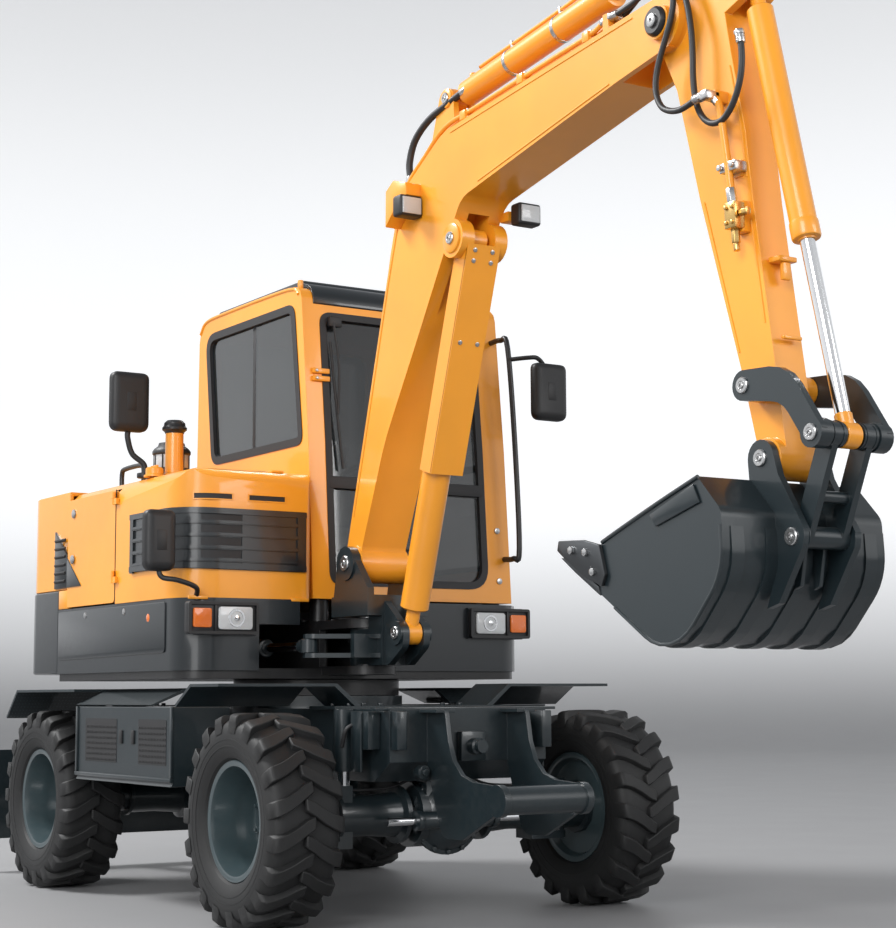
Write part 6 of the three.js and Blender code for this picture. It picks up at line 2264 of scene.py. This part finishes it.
# --------------------------------------------------------------------------- seat
@dataclass
class Seat:
    """The operator's seat: inflated cloth cushions on a plastic base, with piping."""

    middle: float = 315.0
    half: float = 222.0
    voxel: float = 0.006
    pressure: float = 4.0
    most: float = 0.014
    frames: int = 20

    def build(self) -> None:
        """Builds the base, the three cushions and the piping."""
        base = Builder()
        x = self.middle
        base.box((x - 150, 170, 1402), (x + 150, 520, 1600), 18)
        base.box((x - 205, 90, 1596), (x + 205, 540, 1622), 10)
        base.prism([(578, 1700), (596, 1690), (676, 2190), (660, 2205)], Axis.X, x - 190, x + 190, 6)
        for side in SIDES:
            base.rod((x + side * 70, 640, 2170), (x + side * 70, 648, 2260), 7, 14)
        shell = base.finish("seat_shell", Finish.PLASTIC, "upper")
        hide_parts("operator_seat")
        cushions = (
            (
                "seat_cushion",
                [(74, 1618), (70, 1682), (110, 1700), (330, 1688), (540, 1704), (548, 1622)],
                self.half - 16,
            ),
            (
                "seat_back_cushion",
                [(488, 1712), (556, 1996), (596, 2190), (656, 2188), (640, 2050), (572, 1708)],
                self.half - 20,
            ),
            ("seat_headrest", [(606, 2232), (622, 2348), (646, 2362), (672, 2352), (652, 2232)], 112),
        )
        piping = Builder()
        for name, profile, half in cushions:
            self._cushion(name, profile, half)
            for side in SIDES:
                lane = [(x + side * (half - 52), *spot) for spot in profile]
                front = lane[1:5] if name == "seat_cushion" else lane[:4]
                piping.tube(front, 3.0, 8, 6)
        piping.finish("seat_piping", Finish.SEAL_AND_SHADE, "upper")

    def _cushion(self, name: str, profile: Sequence[Point], half: float) -> None:
        """One cushion: a rounded block that is filled by a short cloth simulation."""
        x = self.middle
        source = Builder()
        source.prism(profile, Axis.X, x - half, x + half, 20)
        mesh = bpy.data.meshes.new(name)
        source.mesh.to_mesh(mesh)
        source.mesh.free()
        block = loose_object(mesh)
        remesh = block.modifiers.new("even", "REMESH")
        remesh.mode = "VOXEL"
        remesh.voxel_size = self.voxel
        pad = loose_object(evaluated(block))
        pad = loose_object(self._inflate(pad))
        smooth = pad.modifiers.new("smooth", "SMOOTH")
        smooth.factor = 0.5
        smooth.iterations = 4
        finer = pad.modifiers.new("finer", "SUBSURF")
        finer.levels = finer.render_levels = 1
        piece = publish(evaluated(pad), name, Finish.FABRIC, "upper", 80.0)

    def _inflate(self, pad: bpy.types.Object) -> bpy.types.Mesh:
        """Runs the cloth simulation and caps how far each point may move."""
        start = [vert.co.copy() for vert in pad.data.vertices]
        cloth = pad.modifiers.new("cloth", "CLOTH")
        cloth.settings.use_pressure = True
        cloth.settings.uniform_pressure_force = self.pressure
        cloth.settings.effector_weights.gravity = 0.0
        cloth.point_cache.frame_start = 1
        cloth.point_cache.frame_end = self.frames
        for frame in range(1, self.frames + 1):
            bpy.context.scene.frame_set(frame)
        result = evaluated(pad)
        bpy.context.scene.frame_set(1)
        for vert, home in zip(result.vertices, start):
            move = vert.co - home
            if move.length > self.most:
                vert.co = home + move.normalized() * self.most
        return result


# --------------------------------------------------------------------------- free hoses
@dataclass
class FreeHose:
    """A hydraulic hose that hangs between the boom and the arm."""

    node: str
    points: Sequence[Point]
    radius: float = 11.0

    def build(self) -> None:
        route = smooth_path([Vector(point) for point in self.points], 6)
        hose = Builder()
        path = [SITE.at(point) for point in route]
        hose.sweep(path, self.radius * MM, 16)
        piece = hose.finish(f"{self.node}_rubber", Finish.HOSE, None, 60)
        length = sum((b - a).length for a, b in zip(path, path[1:]))
        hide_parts(self.node)
        SITE.at((-200, -2740, 3420))
        SITE.at((-230, -3080, 2960))
        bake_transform(piece)
        for body, near, ahead in (("boom_arm", route[0], route[1]), ("dipper", route[-1], route[-2])):
            if self.node == "arm_hose_inner" and body == "dipper":
                body = "bucket_barrel"
            run = (ahead - near).normalized()
            ferrule = Builder()
            ferrule.rod(near + run * 2, near + run * 42, self.radius + 4.5, 24, 2)
            for step in range(4):
                ferrule.rod(near + run * (8 + 8 * step), near + run * (11 + 8 * step), self.radius + 6, 24, 1)
            ferrule.rod(near - run * 4, near + run * 10, self.radius + 8, 6, 1)
            end = "boom" if body == "boom_arm" else "arm"
            ferrule.finish(f"{self.node}_ferrule_{end}", Finish.STEEL, body)


HOSES = (
    FreeHose("arm_hose_outer", (
        (-196, -2560, 3352), (-196, -2600, 3352), (-198, -2700, 3364), (-205, -2780, 3379),
        (-215, -2860, 3380), (-225, -2922, 3346), (-230, -2952, 3286), (-231, -2940, 3222),
        (-232, -2910, 3158), (-233, -2880, 3098), (-234, -2861, 3045), (-236, -2857, 2998),
        (-239, -2870, 2952), (-242, -2900, 2912), (-245, -2946, 2888), (-247, -2996, 2878),
        (-248, -3042, 2882), (-248, -3078, 2890), (-248, -3100, 2892), (-248, -3116, 2892),
    )),
    FreeHose("arm_hose_inner", (
        (-166, -2560, 3352), (-166, -2600, 3352), (-180, -2700, 3382), (-194, -2780, 3408),
        (-203, -2860, 3414), (-208, -2930, 3384), (-212, -2980, 3322), (-214, -3006, 3258),
        (-216, -3022, 3196), (-218, -3033, 3130), (-218, -3036, 3060), (-218, -3036, 2990),
        (-218, -3043, 2922), (-218, -3060, 2868), (-218, -3092, 2824), (-218, -3134, 2800),
        (-218, -3180, 2800), (-218, -3220, 2826), (-218, -3252, 2868), (-218, -3274, 2920),
        (-218, -3283, 2975), (-217, -3280, 3030), (-216, -3271.7, 3076.6),
    )),
)


CYLINDERS = (
    Cylinder("boom_cylinder", (BOOM_X, -1000, 1165), (BOOM_X, -1508, 2746), 34, 48, 115, 60, 1050, 30,
             "boom_barrel", "boom_rod"),
    Cylinder("arm_cylinder", (BOOM_X, -1390, 3372), (BOOM_X, -2870, 3545), 30, 44, 85, 54, 1080, 28,
             "arm_barrel", "arm_rod", port_side=1.0),
    Cylinder("bucket_cylinder", (BOOM_X, -3225, 3275), (BOOM_X, -3595, 1700), 30, 42, 100, 45, 945, 25,
             "bucket_barrel", "bucket_rod"),
    Cylinder("swing_cylinder", (-420, 450, 1115), (-420, -700, 1115), 30, 36, 55, 38, 760, 20,
             "swing_barrel", "swing_rod", (0.0, 0.0, 1.0), Finish.CHASSIS),
    Cylinder("blade_cylinder", (0, 1510, 790), (0, 1850, 470), 30, 36, 62, 34, 290, 18,
             "blade_barrel", "blade_rod", finish=Finish.CHASSIS),
)


# --------------------------------------------------------------------------- light and camera
@dataclass(frozen=True)
class Studio:
    """Pale floor and backdrop, soft lights and the camera."""

    eye: tuple[float, float, float] = (-4305.0, -7846.0, 903.0)
    heading: float = 32.717
    rise: float = 6.951
    roll: float = -0.24
    lens: float = 73.74

    def build(self) -> None:
        """Sets up the floor, the lights, the world and the camera."""
        bpy.context.scene.view_settings.view_transform = "Standard"
        self._camera()
        self._floor()
        self._world()
        self._lights()

    def _camera(self) -> None:
        """A camera at eye height in front of the machine's right corner."""
        data = bpy.data.cameras.new("camera")
        data.lens = self.lens
        data.sensor_width = 36.0
        data.sensor_fit = "AUTO"
        data.clip_end = 200.0
        camera = bpy.data.objects.new("camera", data)
        camera.location = SITE.at(self.eye)
        heading, rise = math.radians(self.heading), math.radians(self.rise)
        ahead = Vector(
            (math.sin(heading) * math.cos(rise), math.cos(heading) * math.cos(rise), math.sin(rise))
        )
        turn = ahead.to_track_quat("-Z", "Y").to_matrix().to_4x4()
        camera.matrix_world = (
            Matrix.Translation(camera.location) @ turn @ Matrix.Rotation(math.radians(self.roll), 4, "Z")
        )
        bpy.context.scene.collection.objects.link(camera)
        bpy.context.scene.camera = camera

    def _floor(self) -> None:
        """A flat floor that sweeps up into a round backdrop, well outside every camera place."""
        sheet = bmesh.new()
        flat, bend, top, sides = 22.0, 8.0, 24.0, 96
        profile = [(flat * step / 4, 0.0) for step in range(1, 5)]
        for step in range(1, 17):
            angle = math.pi / 2 * step / 16
            profile.append((flat + bend * math.sin(angle), bend - bend * math.cos(angle)))
        profile.append((flat + bend, top))
        middle = sheet.verts.new((0.0, 0.0, -0.0005))
        rings = []
        for reach, height in profile:
            spots = [
                Matrix.Rotation(FULL_TURN * k / sides, 4, "Z") @ Vector((reach, 0, 0))
                for k in range(sides)
            ]
            rings.append([sheet.verts.new(spot + Vector((0, 0, height - 0.0005))) for spot in spots])
        for k in range(sides):
            follow = (k + 1) % sides
            sheet.faces.new((middle, rings[0][k], rings[0][follow]))
            for inner, outer in zip(rings, rings[1:]):
                sheet.faces.new((inner[k], outer[k], outer[follow], inner[follow]))
        mesh = bpy.data.meshes.new("studio_floor")
        sheet.to_mesh(mesh)
        sheet.free()
        mesh.shade_smooth()
        mesh.materials.append(Floor().build())
        floor = bpy.data.objects.new("studio_floor", mesh)
        bpy.context.scene.collection.objects.link(floor)

    def _world(self) -> None:
        """A soft grey surround."""
        world = bpy.data.worlds.new("studio")
        world.use_nodes = True
        background = world.node_tree.nodes["Background"]
        background.inputs["Color"].default_value = rgba(0.92, 0.95, 1.0)
        background.inputs["Strength"].default_value = 0.34
        bpy.context.scene.world = world

    def _lights(self) -> None:
        """A high key behind the machine's right side, and a fill, a front and a low light ahead of it."""
        self._area("key", (-7.0, 7.0, 11.5), 4.0, 2300.0)
        self._area("fill", (-9.0, -7.5, 6.0), 5.0, 620.0)
        self._area("front", (4.0, -10.0, 5.0), 3.5, 230.0)
        self._area("low", (-10.0, -7.0, 3.0), 5.0, 170.0)

    def _area(self, name: str, place: Point, size: float, power: float) -> None:
        """One square light that faces the machine."""
        data = bpy.data.lights.new(name, "AREA")
        data.size = size
        data.energy = power
        light = bpy.data.objects.new(name, data)
        light.location = Vector(place)
        aim = Vector((0.0, 0.0, 1.3)) - light.location
        light.rotation_euler = aim.to_track_quat("-Z", "Y").to_euler()
        bpy.context.scene.collection.objects.link(light)


ROUNDED: dict[str, tuple[Finish, float]] = {
    "chassis_frame": (Finish.CHASSIS, 4.0),
    "front_axle": (Finish.CHASSIS, 4.0),
    "rear_axle": (Finish.CHASSIS, 4.0),
    "slew_ring": (Finish.BLACK_PAINT_AND_SHADE, 3.0),
    "front_fenders": (Finish.CHASSIS, 2.5),
    "rear_fenders": (Finish.TREAD_PLATE, 2.5),
    "toolbox_right": (Finish.CHASSIS, 5.0),
    "step_box_left": (Finish.CHASSIS, 4.0),
    "steering_knuckle_left": (Finish.CHASSIS, 3.0),
    "steering_knuckle_right": (Finish.CHASSIS, 3.0),
    "dozer_blade": (Finish.CHASSIS, 3.0),
    "upper_frame": (Finish.BLACK_PAINT_AND_SHADE, 2.5),
    "skirt_right": (Finish.CHARCOAL, 3.0),
    "skirt_left": (Finish.CHARCOAL, 3.0),
    "counterweight": (Finish.CHARCOAL, 10.0),
    "engine_block": (Finish.CAST, 6.0),
    "right_hood": (Finish.YELLOW, 8.0),
    "cab_frame": (Finish.YELLOW, 5.0),
    "cab_roof": (Finish.CHARCOAL, 8.0),
    "control_console": (Finish.PLASTIC, 5.0),
    "engine_hood": (Finish.YELLOW, 5.0),
    "engine_side_door": (Finish.YELLOW, 4.0),
    "cab_door": (Finish.YELLOW, 4.0),
    "swing_post": (Finish.CHASSIS, 4.0),
    "boom": (Finish.YELLOW, 5.0),
    "arm": (Finish.YELLOW, 5.0),
    "side_links": (Finish.CHASSIS, 3.0),
    "bucket_link": (Finish.CHASSIS, 3.0),
    "bucket": (Finish.CHASSIS, 3.0),
}

PANES = {
    "windshield_upper": Finish.GLASS,
    "windshield_lower": Finish.GLASS,
    "glass_right": Finish.DARK_GLASS,
    "glass_rear": Finish.DARK_GLASS,
    "glass_left_rear": Finish.DARK_GLASS,
    "door_glass": Finish.GLASS,
}


def main() -> None:
    """Builds the classes in order."""
    global SITE, REPEAT
    logging.basicConfig(level=logging.INFO, format="%(message)s")
    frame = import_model()
    SITE = Site.from_frame()
    REPEAT = Repeat()
    owner = {node: body for body, nodes in frame["record"]["behaviour"]["bodies"].items() for node in nodes}
    Studio().build()
    for hose in HOSES:
        hose.build()
    for node, (finish, width) in ROUNDED.items():
        rounded(node, finish, owner[node], width)
    for node, finish in PANES.items():
        repaint(node, finish)
    for end in ("front", "rear"):
        for side in ("left", "right"):
            Wheel(end, side).build()
    for item in (*CYLINDERS, *MIRRORS):
        item.build()
    for assembly in (Undercarriage(), UpperBody(), Cab(), Boom(), Arm(), Bucket(), Seat()):
        assembly.build()


if __name__ == "__main__":
    main()
